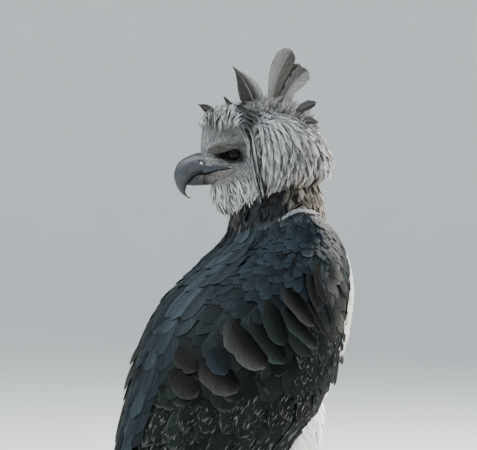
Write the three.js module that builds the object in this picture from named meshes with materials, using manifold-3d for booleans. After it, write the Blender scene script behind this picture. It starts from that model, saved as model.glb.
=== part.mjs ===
// A harpy eagle at life size, standing with its wings folded and its head turned back over its left shoulder.
// Millimetres. The body faces +X, its left is +Y, up is +Z, and the soles stand on z = 0.
import * as THREE from "three";
import { mergeVertices } from "three/addons/utils/BufferGeometryUtils.js";
import Module from "manifold-3d";

const wasm = await Module();
wasm.setup();

// Driving dimensions
const gap = 0.3; // air between two nodes that touch
const bodySides = 24; // corners of a ring round the body
const headCentre = new THREE.Vector3(44, 11, 748);
const headTurn = 145; // degrees from the body's heading to the bill's, over the left shoulder
const footSpread = 74; // each foot's distance from the middle plane
const ankleForward = -24; // how far the heel of the shank lies from the body's own middle
const tailRoot = new THREE.Vector3(-92, 0, 346);
const tailSlope = 60; // degrees below the horizon
const tailLength = 384;
const tailThick = 0.8; // of one of its vanes
const vaneThick = 1; // of a wing's or the back's vanes
const ruffThick = 0.9;
const crestThick = 1.1;
const crestBow = 2; // how far a crest feather bows in its middle
const rightCrest = 0.93; // how long the right side's crest feathers are against the left's
const eyeRadius = 11.5;
const eyePlace = { forward: 40.5, aside: 31, up: -3 };
const lidDepth = 2.2; // how far a lid stands out round the eye
const ballForward = 24; // how far ahead of the heel the ball of the foot stands
const hubReach = 6; // how far from the middle of the ball of the foot a toe starts
const soleDepth = 1.4; // how much of a pad's round underside the floor flattens
const clawArc = { rise: 52, fall: -84, clear: 1.2 }; // degrees at root and tip, and height off the floor
const groundShift = new THREE.Vector3(59.5, 0, 0); // brings the middle of the whole box over the origin

// Horizontal sections of the whole body with its wings: height, middle, half depth, half width
const coatSections = [
  [687, 46, 20, 44],
  [681, 48, 38, 62],
  [668, 52, 50, 79],
  [650, 60, 58, 91],
  [628, 67, 70, 102],
  [594, 54, 97, 120],
  [538, 25, 138, 133],
  [480, 3, 153, 138],
  [398, -22, 157, 136],
  [331, -54, 146, 124],
  [280, -88, 120, 104],
  [230, -126, 96, 82],
  [185, -160, 78, 60],
  [150, -184, 58, 46],
];

// Horizontal sections of the trunk under the wings: height, middle, half depth, half width
const trunkSections = [
  [664, 58, 24, 40],
  [650, 65, 46, 62],
  [628, 71, 66, 80],
  [594, 60, 93, 96],
  [538, 33, 132, 107],
  [480, 11, 147, 113],
  [430, -4, 146, 113],
  [380, -26, 132, 108],
  [331, -60, 108, 96],
  [300, -88, 80, 76],
  [278, -113, 50, 50],
  [266, -126, 24, 26],
];

// Neck rings: height, forward, aside, radius along the head and radius across it
const neckSections = [
  [606, 64, 0, 50, 50],
  [625, 63, 0, 64, 64],
  [650, 62, 1, 70, 62],
  [680, 59, 3, 71, 51],
  [705, 54, 6, 66, 44],
  [730, 48, 9, 54, 36],
  [748, 44, 11, 38, 26],
];

// Head rings along the bill's heading: forward, top, bottom, half width
const headSections = [
  [-89, -12, -30, 12],
  [-82, 8, -45, 30],
  [-65, 33, -58, 49],
  [-40, 53, -66, 61],
  [-12, 62, -73, 65],
  [8, 63, -80, 61],
  [22, 62, -86, 51],
  [40, 61, -88, 42],
  [60, 57, -83, 33],
  [75, 50, -48, 26],
  [84, 40, -33, 20],
  [88, 24, -18, 12],
];

// Upper bill rings: top point, bottom point and half width, as forward and up pairs
const upperBill = [
  [50, -9, 46, -25, 17],
  [66, -5, 62, -27.5, 18],
  [80, -2.5, 76, -30.5, 17.5],
  [92, -3, 85, -33.5, 16],
  [104, -6.5, 94, -37, 14],
  [116, -13, 101.5, -42, 11.8],
  [124, -22.5, 106.5, -47.5, 9.6],
  [127, -35, 109.5, -52.5, 7.6],
  [124, -48.5, 110.5, -57.5, 5.6],
  [117, -60, 108.5, -62, 3.6],
  [108, -66.5, 104.5, -65, 1.6],
];
const upperTip = [102.5, -68];

// Lower bill rings, as the upper ones
const lowerBill = [
  [48, -27, 50, -44, 15.5],
  [66, -29.5, 68, -49, 15],
  [80, -32, 82, -50.5, 12.8],
  [92, -36, 94, -50.5, 9.6],
  [101, -41, 103, -49.5, 6],
];
const lowerTip = [107, -46.5];

// Details of the face's left side: each one's place (forward, aside, up) and its half sizes along the same
const eyeHollowForm = [[49, 43, -4.5], [17, 9.5, 8.5]];
const lidSlitForm = [[eyePlace.forward + 0.5, eyePlace.aside + 12, eyePlace.up], [8.2, 14, 5.6]];
const mouthSlitForm = [[68, 26, -27.5], [25, 9, 1.7]];
const nostrilForm = [[88, 17.5, -17], [2, 4, 4.6]];
const nostrilLean = 0.35; // how far it leans forward for its height

// Feathered thigh rings: height, forward, radius fore and aft, radius aside
const thighSections = [
  [420, 30, 40, 30],
  [380, 26, 56, 43],
  [330, 15, 54, 46],
  [280, 2, 47, 41],
  [230, -10, 39, 35],
  [185, -19, 32, 29],
  [156, -23, 26, 24],
];

// Bare shank rings: forward from the heel, height, radius fore and aft, radius aside
const shankSections = [
  [0, 176, 14, 13],
  [-2, 156, 17.5, 16],
  [0, 140, 18, 16.5],
  [6, 110, 14.5, 14],
  [14, 72, 14, 14],
  [20, 44, 16, 17],
  [23, 26, 19.5, 21],
  [24, 12, 20, 21],
  [24, -6, 15, 16],
];

// Toes of a left foot: heading in degrees from straight ahead, toe length and radius, claw length and radius
const toes = {
  inner: [-34, 62, 12.5, 66, 8.6],
  middle: [2, 92, 11.5, 50, 7.2],
  outer: [44, 72, 10.5, 42, 6.4],
  hind: [176, 44, 13.5, 84, 9.6],
};

// A folded wing lies on the body's side between a front and a back edge: height and degrees from the front
const frontEdgeTurns = [
  [687, 50],
  [640, 44],
  [600, 43],
  [540, 46],
  [480, 51],
  [434, 57],
  [398, 66],
  [331, 77],
  [280, 88],
  [230, 104],
  [185, 122],
  [150, 138],
];
const backEdgeTurns = [
  [687, 128],
  [650, 138],
  [628, 148],
  [594, 158],
  [538, 163],
  [398, 165],
  [331, 164],
  [280, 162],
  [230, 158],
  [185, 152],
  [150, 144],
];

// How deep the folded wing is at a height
const wingDepths = [
  [687, 24],
  [640, 38],
  [540, 32],
  [480, 29],
  [430, 25],
  [380, 21],
  [331, 18],
  [270, 15],
];

// Feathers of a wing, tier by tier down from the shoulder: their roots' height, how many there are, where
// they start and end as shares of the way from the wing's front edge to its back edge, their length and
// width, how far they stand off the flesh once out of it, and how steeply they rise at first and further out
const raised = { proud: 2.6, rise: 0.07, later: 0.06 };
const wingTiers = [
  { root: 650, count: 3, from: 0.7, to: 0.94, length: 104, width: 42, ...raised },
  { root: 596, count: 6, from: 0.12, to: 0.9, length: 104, width: 56, ...raised },
  { root: 524, count: 6, from: 0.08, to: 0.9, length: 124, width: 58, ...raised },
  { root: 448, count: 7, from: 0.08, to: 0.88, length: 200, width: 52, ...raised, later: 0.02 },
  { root: 338, count: 5, from: 0.3, to: 0.76, length: 178, width: 34, proud: -4, rise: 0.01, later: 0.01 },
];
const rootFall = 14; // how much lower a tier's last root is than its first
// The folded arm: its top and bottom, and how the shoulder falls away on both sides of its crown
const shoulderLine = { top: 674, bottom: 272, fall: 40, crown: 0.3 };
const coreInset = 8; // how far the wing's flesh lies inside the feathers' outer face
const overlapStep = 2; // how much each feather of a tier lies over the next one

// Feathers of the back between the wings, in rows of two and one
const mantle = { top: 640, apart: 50, rows: 5, aside: 14, width: 28, length: 110 };

// The tail's feathers, the middle pair on top: how many, their width, their fan in degrees from the middle
// pair's own lean, how far one lies under the next, where they start, and how high and how far apart there
const tailFeathers = {
  count: 12,
  width: 56,
  spread: 12,
  lean: 1.2,
  apart: 1.3,
  start: 70,
  height: 8,
  aside: 10,
};
const tailShorter = 8; // how much shorter the outermost feathers are

// The tail's fleshy root: distance along it, half width and half thickness
const tailRootSections = [
  [0, 26, 20],
  [70, 31, 18],
  [140, 26, 11],
];

// The ruff: its feathers' size, their spacing down and across the lie, the lie's droop below the way back in
// degrees, and the edge of the face as up and forward pairs
const ruff = { length: 48, width: 25, along: 24, across: 27, droop: 52, lowest: -44 };
const ruffMiddle = { forward: -20, angle: 6 }; // where its rows are counted from
const ruffEnds = { back: -66, high: 86, low: -54 }; // its last place back, and its highest and lowest angles
const ruffInset = 7; // how far the head's flesh lies inside the ruff's outer face
const faceEdgePlaces = [
  [-80, 50],
  [-60, 42],
  [-30, 28],
  [0, 18],
  [30, 26],
  [66, 38],
];

// Crest feathers of the left side: root and tip as forward, aside and up, then width
const crest = [
  [[9, 8, 50], [41, 17, 117], 27],
  [[-10, 6, 52], [-37, 14, 142], 30],
  [[-28, 11, 50], [-59, 27, 112], 28],
  [[-42, 14, 44], [-73, 27, 67], 22],
  [[-50, 20, 34], [-74, 36, 40], 18],
  [[70, 7, 44], [92, 9, 65], 12],
  [[42, 9, 50], [57, 12, 77], 9],
];
const crestBack = [[-20, 0, 52], [-50, 0, 124], 28]; // the one in the middle

const colours = {
  slate: new THREE.MeshStandardMaterial({ color: 0x25272d, roughness: 0.75 }),
  grey: new THREE.MeshStandardMaterial({ color: 0x8d8985, roughness: 0.9 }),
  white: new THREE.MeshStandardMaterial({ color: 0xd8d3ca, roughness: 0.9 }),
  collar: new THREE.MeshStandardMaterial({ color: 0x24211f, roughness: 0.85 }),
  bill: new THREE.MeshStandardMaterial({ color: 0x33363c, roughness: 0.45 }),
  iris: new THREE.MeshStandardMaterial({ color: 0x2a2523, roughness: 0.08 }),
  skin: new THREE.MeshStandardMaterial({ color: 0xb9973c, roughness: 0.6 }),
  claw: new THREE.MeshStandardMaterial({ color: 0x17171a, roughness: 0.3 }),
};

const turn = (degrees) => THREE.MathUtils.degToRad(degrees);

// A smooth curve through [x, y] pairs, in rising or falling x, that never overshoots them
function curveThrough(pairs) {
  const rising = [...pairs].sort((p, q) => p[0] - q[0]);
  const xs = rising.map((p) => p[0]);
  const ys = rising.map((p) => p[1]);
  const steps = xs.slice(1).map((x, i) => (ys[i + 1] - ys[i]) / (x - xs[i]));
  const slopes = xs.map((_, i) => {
    if (i === 0) return steps[0];
    if (i === xs.length - 1) return steps[i - 1];
    const product = steps[i - 1] * steps[i];
    return product <= 0 ? 0 : (2 * product) / (steps[i - 1] + steps[i]);
  });
  return (x) => {
    const at = THREE.MathUtils.clamp(x, xs[0], xs[xs.length - 1]);
    const i = Math.min(Math.max(xs.findIndex((v) => v >= at) - 1, 0), steps.length - 1);
    const width = xs[i + 1] - xs[i];
    const t = (at - xs[i]) / width;
    const blend = t * t * (3 - 2 * t);
    const bow = t * (1 - t) * width;
    return ys[i] + (ys[i + 1] - ys[i]) * blend + bow * (slopes[i] * (1 - t) - slopes[i + 1] * t);
  };
}

// Column k of a table of sections, as a curve over its first column
const column = (sections, k) => curveThrough(sections.map((s) => [s[0], s[k]]));

// A closed solid from points and triangles, whichever way round they were given
function solidOf(points, triangles) {
  const geometry = new THREE.BufferGeometry().setFromPoints(points);
  geometry.setIndex(triangles.flat());
  const merged = mergeVertices(geometry, 1e-4);
  const corners = Array.from(merged.index.array);
  const faces = [];
  for (let i = 0; i < corners.length; i += 3) {
    const [a, b, c] = corners.slice(i, i + 3);
    if (a !== b && b !== c && c !== a) faces.push(a, b, c);
  }
  const build = (list) =>
    new wasm.Manifold(
      new wasm.Mesh({
        numProp: 3,
        vertProperties: merged.attributes.position.array,
        triVerts: new Uint32Array(list),
      }),
    );
  const made = build(faces);
  return made.volume() > 0 ? made : build(faces.reverse());
}

// A closed solid through rings of like numbers of points, with a pole at each end
function skinned(rings, firstPole, lastPole) {
  const sides = rings[0].length;
  const points = rings.flat();
  const first = points.push(firstPole) - 1;
  const last = points.push(lastPole) - 1;
  const triangles = [];
  for (let j = 0; j < sides; j++) {
    const next = (j + 1) % sides;
    for (let i = 0; i + 1 < rings.length; i++) {
      const [a, b] = [i * sides + j, i * sides + next];
      triangles.push([a, b, b + sides], [a, b + sides, a + sides]);
    }
    const end = (rings.length - 1) * sides;
    triangles.push([first, next, j], [last, end + j, end + next]);
  }
  return solidOf(points, triangles);
}

// A feather's vane from stations of points across it, a face normal and a thickness
function vane(stations) {
  const across = stations[0].line.length;
  const points = stations.flatMap(({ line, normal, thick }) => [
    ...line.map((point) => point.clone().addScaledVector(normal, thick / 2)),
    ...line.map((point) => point.clone().addScaledVector(normal, -thick / 2)),
  ]);
  const outer = (i, k) => 2 * across * i + k;
  const inner = (i, k) => outer(i, k) + across;
  const edge = across - 1;
  const end = stations.length - 1;
  const triangles = [];
  for (let i = 0; i < end; i++) {
    for (let k = 0; k < edge; k++) {
      triangles.push([outer(i, k), outer(i + 1, k), outer(i + 1, k + 1)]);
      triangles.push([outer(i, k), outer(i + 1, k + 1), outer(i, k + 1)]);
      triangles.push([inner(i, k), inner(i + 1, k + 1), inner(i + 1, k)]);
      triangles.push([inner(i, k), inner(i, k + 1), inner(i + 1, k + 1)]);
    }
    triangles.push([outer(i, edge), outer(i + 1, edge), inner(i + 1, edge)]);
    triangles.push([outer(i, edge), inner(i + 1, edge), inner(i, edge)]);
    triangles.push([outer(i, 0), inner(i + 1, 0), outer(i + 1, 0)]);
    triangles.push([outer(i, 0), inner(i, 0), inner(i + 1, 0)]);
  }
  for (let k = 0; k < edge; k++) {
    triangles.push([outer(0, k), outer(0, k + 1), inner(0, k + 1)]);
    triangles.push([outer(0, k), inner(0, k + 1), inner(0, k)]);
    triangles.push([outer(end, k), inner(end, k + 1), outer(end, k + 1)]);
    triangles.push([outer(end, k), inner(end, k), inner(end, k + 1)]);
  }
  return solidOf(points, triangles);
}

// How wide a vane is from its root to its tip, as shares of its length and of its greatest width
const flightShape = [
  [0, 0.42],
  [0.1, 0.66],
  [0.5, 1],
  [0.84, 0.8],
  [1, 0.14],
];
const standingShape = [
  [0, 0.42],
  [0.3, 0.86],
  [0.62, 1],
  [0.86, 0.74],
  [1, 0.12],
];
const lockShape = [
  [0, 0.5],
  [0.24, 0.86],
  [0.66, 1],
  [1, 0.16],
];

// A vane laid on a surface from a start in the surface's own two coordinates, in a given direction there.
// Its root is sunk, it comes out and rises as it goes, and a slope across it lays it over its neighbour.
function laid(surface, start, heading, measures) {
  const { shape, offsets, length, width, sink, out, proud, rise, later, thick, slope } = measures;
  const small = 0.4; // a little way over which the surface's speed is read
  const strides = 4;
  const far = 80; // from here on it rises by the later slope
  const liftAt = (along) => {
    if (along < out) return THREE.MathUtils.lerp(-sink, proud, along / out);
    return proud + rise * (Math.min(along, far) - out) + later * Math.max(along - far, 0);
  };
  const moved = (at, by, amount) => [at[0] + by[0] * amount, at[1] + by[1] * amount];
  const rate = (at, by) =>
    surface(...moved(at, by, small), 0).sub(surface(...at, 0)).divideScalar(small);
  let at = [...start];
  let along = 0;
  const stations = shape.map(([share, wide]) => {
    const stride = (share * length - along) / strides;
    for (let step = 0; step < strides && stride > 0; step++) {
      at = moved(at, heading, stride / rate(at, heading).length());
    }
    along = share * length;
    const [first, second] = [rate(at, [1, 0]), rate(at, [0, 1])];
    const centre = surface(...at, liftAt(along));
    const normal = surface(...at, liftAt(along) + 1).sub(centre).normalize();
    const aside = new THREE.Vector3().crossVectors(normal, rate(at, heading)).normalize();
    const [ff, fs, ss] = [first.dot(first), first.dot(second), second.dot(second)];
    const [fa, sa] = [first.dot(aside), second.dot(aside)];
    const area = ff * ss - fs * fs;
    const across = [(fa * ss - sa * fs) / area, (sa * ff - fa * fs) / area];
    const half = (width * wide) / 2;
    return {
      line: offsets.map((offset) =>
        surface(...moved(at, across, half * offset), liftAt(along) + slope(at) * half * offset),
      ),
      normal,
      thick: share === 1 ? thick * 0.6 : thick,
    };
  });
  return vane(stations);
}

// A free-standing feather from a root to a tip, bowed a little, with its flat faces along a given way
function standing(root, tip, width, facing, bow, thick) {
  const line = tip.clone().sub(root);
  const along = line.clone().normalize();
  const aside = new THREE.Vector3().crossVectors(facing, along).normalize();
  const face = new THREE.Vector3().crossVectors(along, aside);
  const stations = standingShape.map(([share, wide]) => {
    const centre = root
      .clone()
      .addScaledVector(line, share)
      .addScaledVector(face, bow * 4 * share * (1 - share));
    return {
      line: [1, -1].map((way) => centre.clone().addScaledVector(aside, (way * width * wide) / 2)),
      normal: face,
      thick: share === 1 ? thick * 0.6 : thick,
    };
  });
  return vane(stations);
}

const joined = (solids) => wasm.Manifold.union(solids);

const meanOf = (points) =>
  points.reduce((sum, p) => sum.add(p), new THREE.Vector3()).divideScalar(points.length);

// A ball or egg about a centre, with its three half sizes along given axes
function egg(centre, halves, axes, across = 12) {
  const form = new THREE.SphereGeometry(1, across, Math.round(across * 0.6));
  form.deleteAttribute("normal");
  form.deleteAttribute("uv");
  const frame = new THREE.Matrix4().makeBasis(...axes).scale(new THREE.Vector3(...halves));
  form.applyMatrix4(frame.setPosition(centre));
  const place = form.getAttribute("position");
  const points = Array.from({ length: place.count }, (_, i) =>
    new THREE.Vector3().fromBufferAttribute(place, i),
  );
  const index = Array.from(form.index.array);
  const triangles = [];
  for (let i = 0; i < index.length; i += 3) triangles.push(index.slice(i, i + 3));
  return solidOf(points, triangles);
}

// The head's own axes: forward along the bill, aside to its left, up
const headForward = new THREE.Vector3(Math.cos(turn(headTurn)), Math.sin(turn(headTurn)), 0);
const headUp = new THREE.Vector3(0, 0, 1);
const headAside = new THREE.Vector3().crossVectors(headUp, headForward);
const headAxes = [headForward, headAside, headUp];

function onHead(forward, aside, up) {
  return headCentre
    .clone()
    .addScaledVector(headForward, forward)
    .addScaledVector(headAside, aside)
    .addScaledVector(headUp, up);
}

// The wing's outer face: a point at a height and an angle round from the front, on the left (side 1) or right
const coatMiddle = column(coatSections, 1);
const coatDepth = column(coatSections, 2);
const coatWidth = column(coatSections, 3);

function onCoat(height, angle, side, lift = 0) {
  const round = turn(angle);
  return new THREE.Vector3(
    coatMiddle(height) + (coatDepth(height) + lift) * Math.cos(round),
    side * (coatWidth(height) + lift) * Math.sin(round),
    height,
  );
}

// The trunk, grown outwards by a margin where it is used to cut a neighbour
function trunk(margin = 0) {
  const rows = 13;
  const [top, bottom] = [trunkSections[0][0], trunkSections[trunkSections.length - 1][0]];
  const [middle, depth, width] = [1, 2, 3].map((k) => column(trunkSections, k));
  const rings = Array.from({ length: rows }, (_, i) => {
    const height = top + ((bottom - top) * i) / (rows - 1);
    return Array.from({ length: bodySides }, (_, j) => {
      const round = (2 * Math.PI * j) / bodySides;
      return new THREE.Vector3(
        middle(height) + (depth(height) + margin) * Math.cos(round),
        (width(height) + margin) * Math.sin(round),
        height,
      );
    });
  });
  const above = new THREE.Vector3(middle(top), 0, top + 6 + margin);
  const below = new THREE.Vector3(middle(bottom) - 4, 0, bottom - 7 - margin);
  return skinned(rings, above, below);
}

function neck(margin = 0) {
  const rows = 7;
  const sides = 20;
  const [low, high] = [neckSections[0][0], neckSections[neckSections.length - 1][0]];
  const [ahead, aside, long, wide] = [1, 2, 3, 4].map((k) => column(neckSections, k));
  const rings = Array.from({ length: rows }, (_, i) => {
    const height = low + ((high - low) * i) / (rows - 1);
    return Array.from({ length: sides }, (_, j) => {
      const round = (2 * Math.PI * j) / sides;
      return new THREE.Vector3(ahead(height), aside(height), height)
        .addScaledVector(headForward, (long(height) + margin) * Math.cos(round))
        .addScaledVector(headAside, (wide(height) + margin) * Math.sin(round));
    });
  });
  return skinned(rings, meanOf(rings[0]), meanOf(rings[rows - 1]));
}

const [headTop, headBottom, headWidth] = [1, 2, 3].map((k) => column(headSections, k));

// The ruff's inset, which fades out towards the face
const insetAt = (forward) => ruffInset * (1 - THREE.MathUtils.smoothstep(forward, 10, 40));

// A point on the head's flesh: a place along it, an angle up from its left side in degrees, and a lift
function onHeadSkin(forward, angle, lift) {
  const round = turn(angle);
  const out = lift - insetAt(forward);
  const middle = (headTop(forward) + headBottom(forward)) / 2;
  const half = (headTop(forward) - headBottom(forward)) / 2 + out;
  const [across, upward] = [Math.cos(round), Math.sin(round)];
  const power = upward < 0 ? 0.65 : 1; // the cheeks are fuller below than the crown is above
  const aside = (headWidth(forward) + out) * Math.sign(across) * Math.pow(Math.abs(across), power);
  return onHead(forward, aside, middle + half * upward);
}

function headForm(margin = 0) {
  const rows = 14;
  const sides = 21;
  const [back, front] = [headSections[0][0], headSections[headSections.length - 1][0]];
  const rings = Array.from({ length: rows }, (_, i) => {
    const forward = back + (front - back) * Math.pow(i / (rows - 1), 0.85);
    return Array.from({ length: sides }, (_, j) => onHeadSkin(forward, (360 * j) / sides, margin));
  });
  return skinned(rings, onHead(back - 4 - margin, 0, -20), onHead(front + 3 + margin, 0, 10));
}

// One half of the bill from its rings
function billHalf(stations, tip, margin = 0) {
  const sides = 14;
  const rings = stations.map(([topForward, topUp, lowForward, lowUp, halfWidth]) => {
    const middle = onHead((topForward + lowForward) / 2, 0, (topUp + lowUp) / 2);
    const upward = onHead(topForward, 0, topUp).sub(middle);
    const half = upward.length() + margin;
    upward.normalize();
    return Array.from({ length: sides }, (_, j) => {
      const round = (2 * Math.PI * j) / sides;
      return middle
        .clone()
        .addScaledVector(upward, half * Math.sin(round))
        .addScaledVector(headAside, (halfWidth + margin) * Math.cos(round));
    });
  });
  return skinned(rings, meanOf(rings[0]), onHead(tip[0], 0, tip[1]));
}

const eyeBall = (side, margin = 0) =>
  egg(
    onHead(eyePlace.forward, side * eyePlace.aside, eyePlace.up),
    [eyeRadius + margin, eyeRadius + margin, eyeRadius + margin],
    headAxes,
  );

// An egg on the face from its left side's form
const faceEgg = ([[forward, aside, up], halves], side, axes = headAxes) =>
  egg(onHead(forward, side * aside, up), halves, axes, 10);

// The hollow before an eye, under the brow
const eyeHollow = (side) => faceEgg(eyeHollowForm, side);

// The lids: a cap over the eye, open along an almond
const lids = (side) => eyeBall(side, lidDepth).subtract(faceEgg(lidSlitForm, side));

// The mouth's corner behind the bill
const mouthSlit = (side) => faceEgg(mouthSlitForm, side);

const nostril = (side) => {
  const lean = new THREE.Vector3().copy(headUp).addScaledVector(headForward, nostrilLean).normalize();
  const across = new THREE.Vector3().crossVectors(headAside, lean);
  return faceEgg(nostrilForm, side, [across, headAside, lean]);
};

const faceEdge = curveThrough(faceEdgePlaces);

// The ruff's feathers on one side, set out along and across their lie, which droops back and down
function ruffFeathers(side) {
  const { length, width, along, across, droop, lowest } = ruff;
  const [back, down] = [Math.cos(turn(droop)), Math.sin(turn(droop))];
  const degrees = 0.95; // of turn round the head for each millimetre down its side
  const last = headSections[0][0] + 3; // no feather's flesh lies further back
  const surface = (forward, angle, lift) => {
    const behind = Math.min(forward - last, 0);
    const below = Math.min(angle - lowest, 0);
    const round = side > 0 ? angle - below : 180 - angle + below;
    return onHeadSkin(forward - behind, round, lift)
      .addScaledVector(headForward, behind)
      .addScaledVector(headUp, below / degrees);
  };
  const made = [];
  for (let row = -4; row <= 5; row++) {
    for (let place = -5; place <= 5; place++) {
      const far = row * along;
      const aside = (place + (row % 2 ? 0.5 : 0)) * across;
      const forward = ruffMiddle.forward - far * back + aside * down;
      const up = -far * down - aside * back;
      const angle = ruffMiddle.angle + up * degrees;
      if (forward < ruffEnds.back || forward > faceEdge(up)) continue;
      if (angle > ruffEnds.high || angle < ruffEnds.low) continue;
      made.push(
        laid(surface, [forward, angle], [-back, -down * degrees], {
          shape: lockShape,
          offsets: [1, -1],
          length,
          width,
          sink: 5,
          out: length * lockShape[1][0],
          proud: 1.6,
          rise: 0.17,
          later: 0,
          thick: ruffThick,
          slope: () => 0,
        }),
      );
    }
  }
  return made;
}

function crestFeathers() {
  const made = [];
  for (const side of [1, -1]) {
    const facing = headAside.clone().addScaledVector(headForward, side * 0.35).normalize();
    const length = side > 0 ? 1 : rightCrest;
    for (const [root, tip, width] of crest) {
      const from = onHead(root[0], side * root[1], root[2]);
      const to = onHead(tip[0], side * tip[1], tip[2]);
      const reached = from.clone().lerp(to, length);
      made.push(standing(from, reached, width, facing, side * crestBow, crestThick));
    }
  }
  const [root, tip, width] = crestBack;
  made.push(standing(onHead(...root), onHead(...tip), width, headAside, crestBow, crestThick));
  return made;
}

const frontEdge = curveThrough(frontEdgeTurns);
const backEdge = curveThrough(backEdgeTurns);
const wingDepth = curveThrough(wingDepths);

// A point on the wing: its height, the share of the way from the front edge to the back edge, and a lift
const onWing = (side) => (height, share, lift) =>
  onCoat(
    height,
    THREE.MathUtils.lerp(frontEdge(height), backEdge(height), share),
    side,
    lift - coreInset,
  );

// The wing's flesh: a shell as deep as the folded arm, thinning out to its borders
function wingCore(side) {
  const [rows, columns] = [12, 6];
  const { top, bottom, fall, crown } = shoulderLine;
  const shoulder = (share) => top - fall * Math.pow(Math.abs(share - crown), 1.4);
  const surface = onWing(side);
  const points = [];
  const place = (i, j, inner) => (inner * (rows + 1) + i) * (columns + 1) + j;
  for (const inner of [0, 1]) {
    for (let i = 0; i <= rows; i++) {
      for (let j = 0; j <= columns; j++) {
        const share = j / columns;
        const height = THREE.MathUtils.lerp(shoulder(share), bottom, Math.pow(i / rows, 1.3));
        const rim = i === 0 || i === rows ? 0 : Math.sqrt(1 - Math.pow(2 * share - 1, 6));
        const depth = wingDepth(height) - coreInset;
        const lift = inner ? -depth * (0.5 + rim / 2) : -depth * (0.5 - rim / 2);
        points.push(surface(height, share, lift));
      }
    }
  }
  const triangles = [];
  for (const inner of [0, 1]) {
    for (let i = 0; i < rows; i++) {
      for (let j = 0; j < columns; j++) {
        const corners = [
          place(i, j, inner),
          place(i, j + 1, inner),
          place(i + 1, j + 1, inner),
          place(i + 1, j, inner),
        ];
        if (inner) corners.reverse();
        triangles.push(corners.slice(0, 3), [corners[0], corners[2], corners[3]]);
      }
    }
  }
  return solidOf(points, triangles);
}

function wingFeathers(side) {
  const surface = onWing(side);
  const made = [];
  for (const { root, count, from, to, length, width, proud, rise, later } of wingTiers) {
    const apart = (to - from) / (count - 1);
    const slope = ([height, share]) => {
      const pitch = surface(height, share, 0).distanceTo(surface(height, share + apart, 0));
      return (side * overlapStep) / pitch;
    };
    for (let i = 0; i < count; i++) {
      const share = from + apart * i;
      made.push(
        laid(surface, [root - rootFall * share, share], [-1, 0], {
          shape: flightShape,
          offsets: [1, 0, -1],
          length,
          width,
          sink: 6,
          out: length * flightShape[1][0],
          proud,
          rise,
          later,
          thick: vaneThick,
          slope,
        }),
      );
    }
  }
  return made;
}

// The back's feathers between the wings
function mantleFeathers() {
  const [middle, depth, width] = [1, 2, 3].map((k) => column(trunkSections, k));
  const surface = (height, aside, lift) => {
    const round = Math.PI - Math.asin(aside / width(height));
    return new THREE.Vector3(
      middle(height) + (depth(height) + lift) * Math.cos(round),
      (width(height) + lift) * Math.sin(round),
      height,
    );
  };
  return Array.from({ length: mantle.rows }, (_, row) => {
    const places = row % 2 ? [0] : [-mantle.aside, mantle.aside];
    return places.map((aside) =>
      laid(surface, [mantle.top - mantle.apart * row, aside], [-1, 0], {
        shape: flightShape,
        offsets: [1, -1],
        length: mantle.length,
        width: mantle.width,
        sink: 8,
        out: mantle.length * flightShape[1][0],
        proud: 2,
        rise: 0.1,
        later: 0.06,
        thick: vaneThick,
        slope: () => 0,
      }),
    );
  }).flat();
}

// The tail: a fleshy root, and feathers that fan out from it in a stack
const tailAlong = new THREE.Vector3(-Math.cos(turn(tailSlope)), 0, -Math.sin(turn(tailSlope)));
const tailAside = new THREE.Vector3(0, 1, 0);
const tailUp = new THREE.Vector3().crossVectors(tailAlong, tailAside);

const onTail = (along, aside, lift) =>
  tailRoot
    .clone()
    .addScaledVector(tailAlong, along)
    .addScaledVector(tailAside, aside)
    .addScaledVector(tailUp, lift);

function tail() {
  const sides = 10;
  const rings = tailRootSections.map(([far, halfWidth, halfThick]) =>
    Array.from({ length: sides }, (_, j) => {
      const round = (2 * Math.PI * j) / sides;
      return onTail(far, halfWidth * Math.cos(round), halfThick * Math.sin(round));
    }),
  );
  const made = [skinned(rings, tailRoot, onTail(158, 0, 0))];
  const { count, spread, lean, width, apart, start, height, aside } = tailFeathers;
  for (let i = 0; i < count; i++) {
    const side = i % 2 ? -1 : 1;
    const outward = Math.floor(i / 2) / (count / 2 - 1);
    const angle = turn(side * (lean + (spread / 2) * outward));
    const [across, up] = [side * aside * outward, height - apart * i];
    const reach = tailLength - start - tailShorter * outward * outward;
    const from = onTail(start, across, up);
    const to = onTail(start + reach * Math.cos(angle), across + reach * Math.sin(angle), up);
    made.push(standing(from, to, width, tailUp, 0, tailThick));
  }
  return joined(made);
}

function thigh(side, margin = 0) {
  const rows = 8;
  const sides = 16;
  const [high, low] = [thighSections[0][0], thighSections[thighSections.length - 1][0]];
  const [ahead, deep, wide] = [1, 2, 3].map((k) => column(thighSections, k));
  const rings = Array.from({ length: rows }, (_, i) => {
    const height = high + ((low - high) * i) / (rows - 1);
    return Array.from({ length: sides }, (_, j) => {
      const round = (2 * Math.PI * j) / sides;
      return new THREE.Vector3(
        ahead(height) + (deep(height) + margin) * Math.cos(round),
        side * footSpread + (wide(height) + margin) * Math.sin(round),
        height,
      );
    });
  });
  const below = meanOf(rings[rows - 1]).add(new THREE.Vector3(0, 0, -5 - margin));
  return skinned(rings, meanOf(rings[0]), below);
}

// The bare shank, from inside the thigh to the ball of the foot
function shank(side, margin = 0) {
  const sides = 12;
  const rings = shankSections.map(([forward, height, deep, wide]) =>
    Array.from({ length: sides }, (_, j) => {
      const round = (2 * Math.PI * j) / sides;
      return new THREE.Vector3(
        ankleForward + forward + (deep + margin) * Math.cos(round),
        side * footSpread + (wide + margin) * Math.sin(round),
        height,
      );
    }),
  );
  return skinned(rings, meanOf(rings[0]), meanOf(rings[rings.length - 1]));
}

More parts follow.
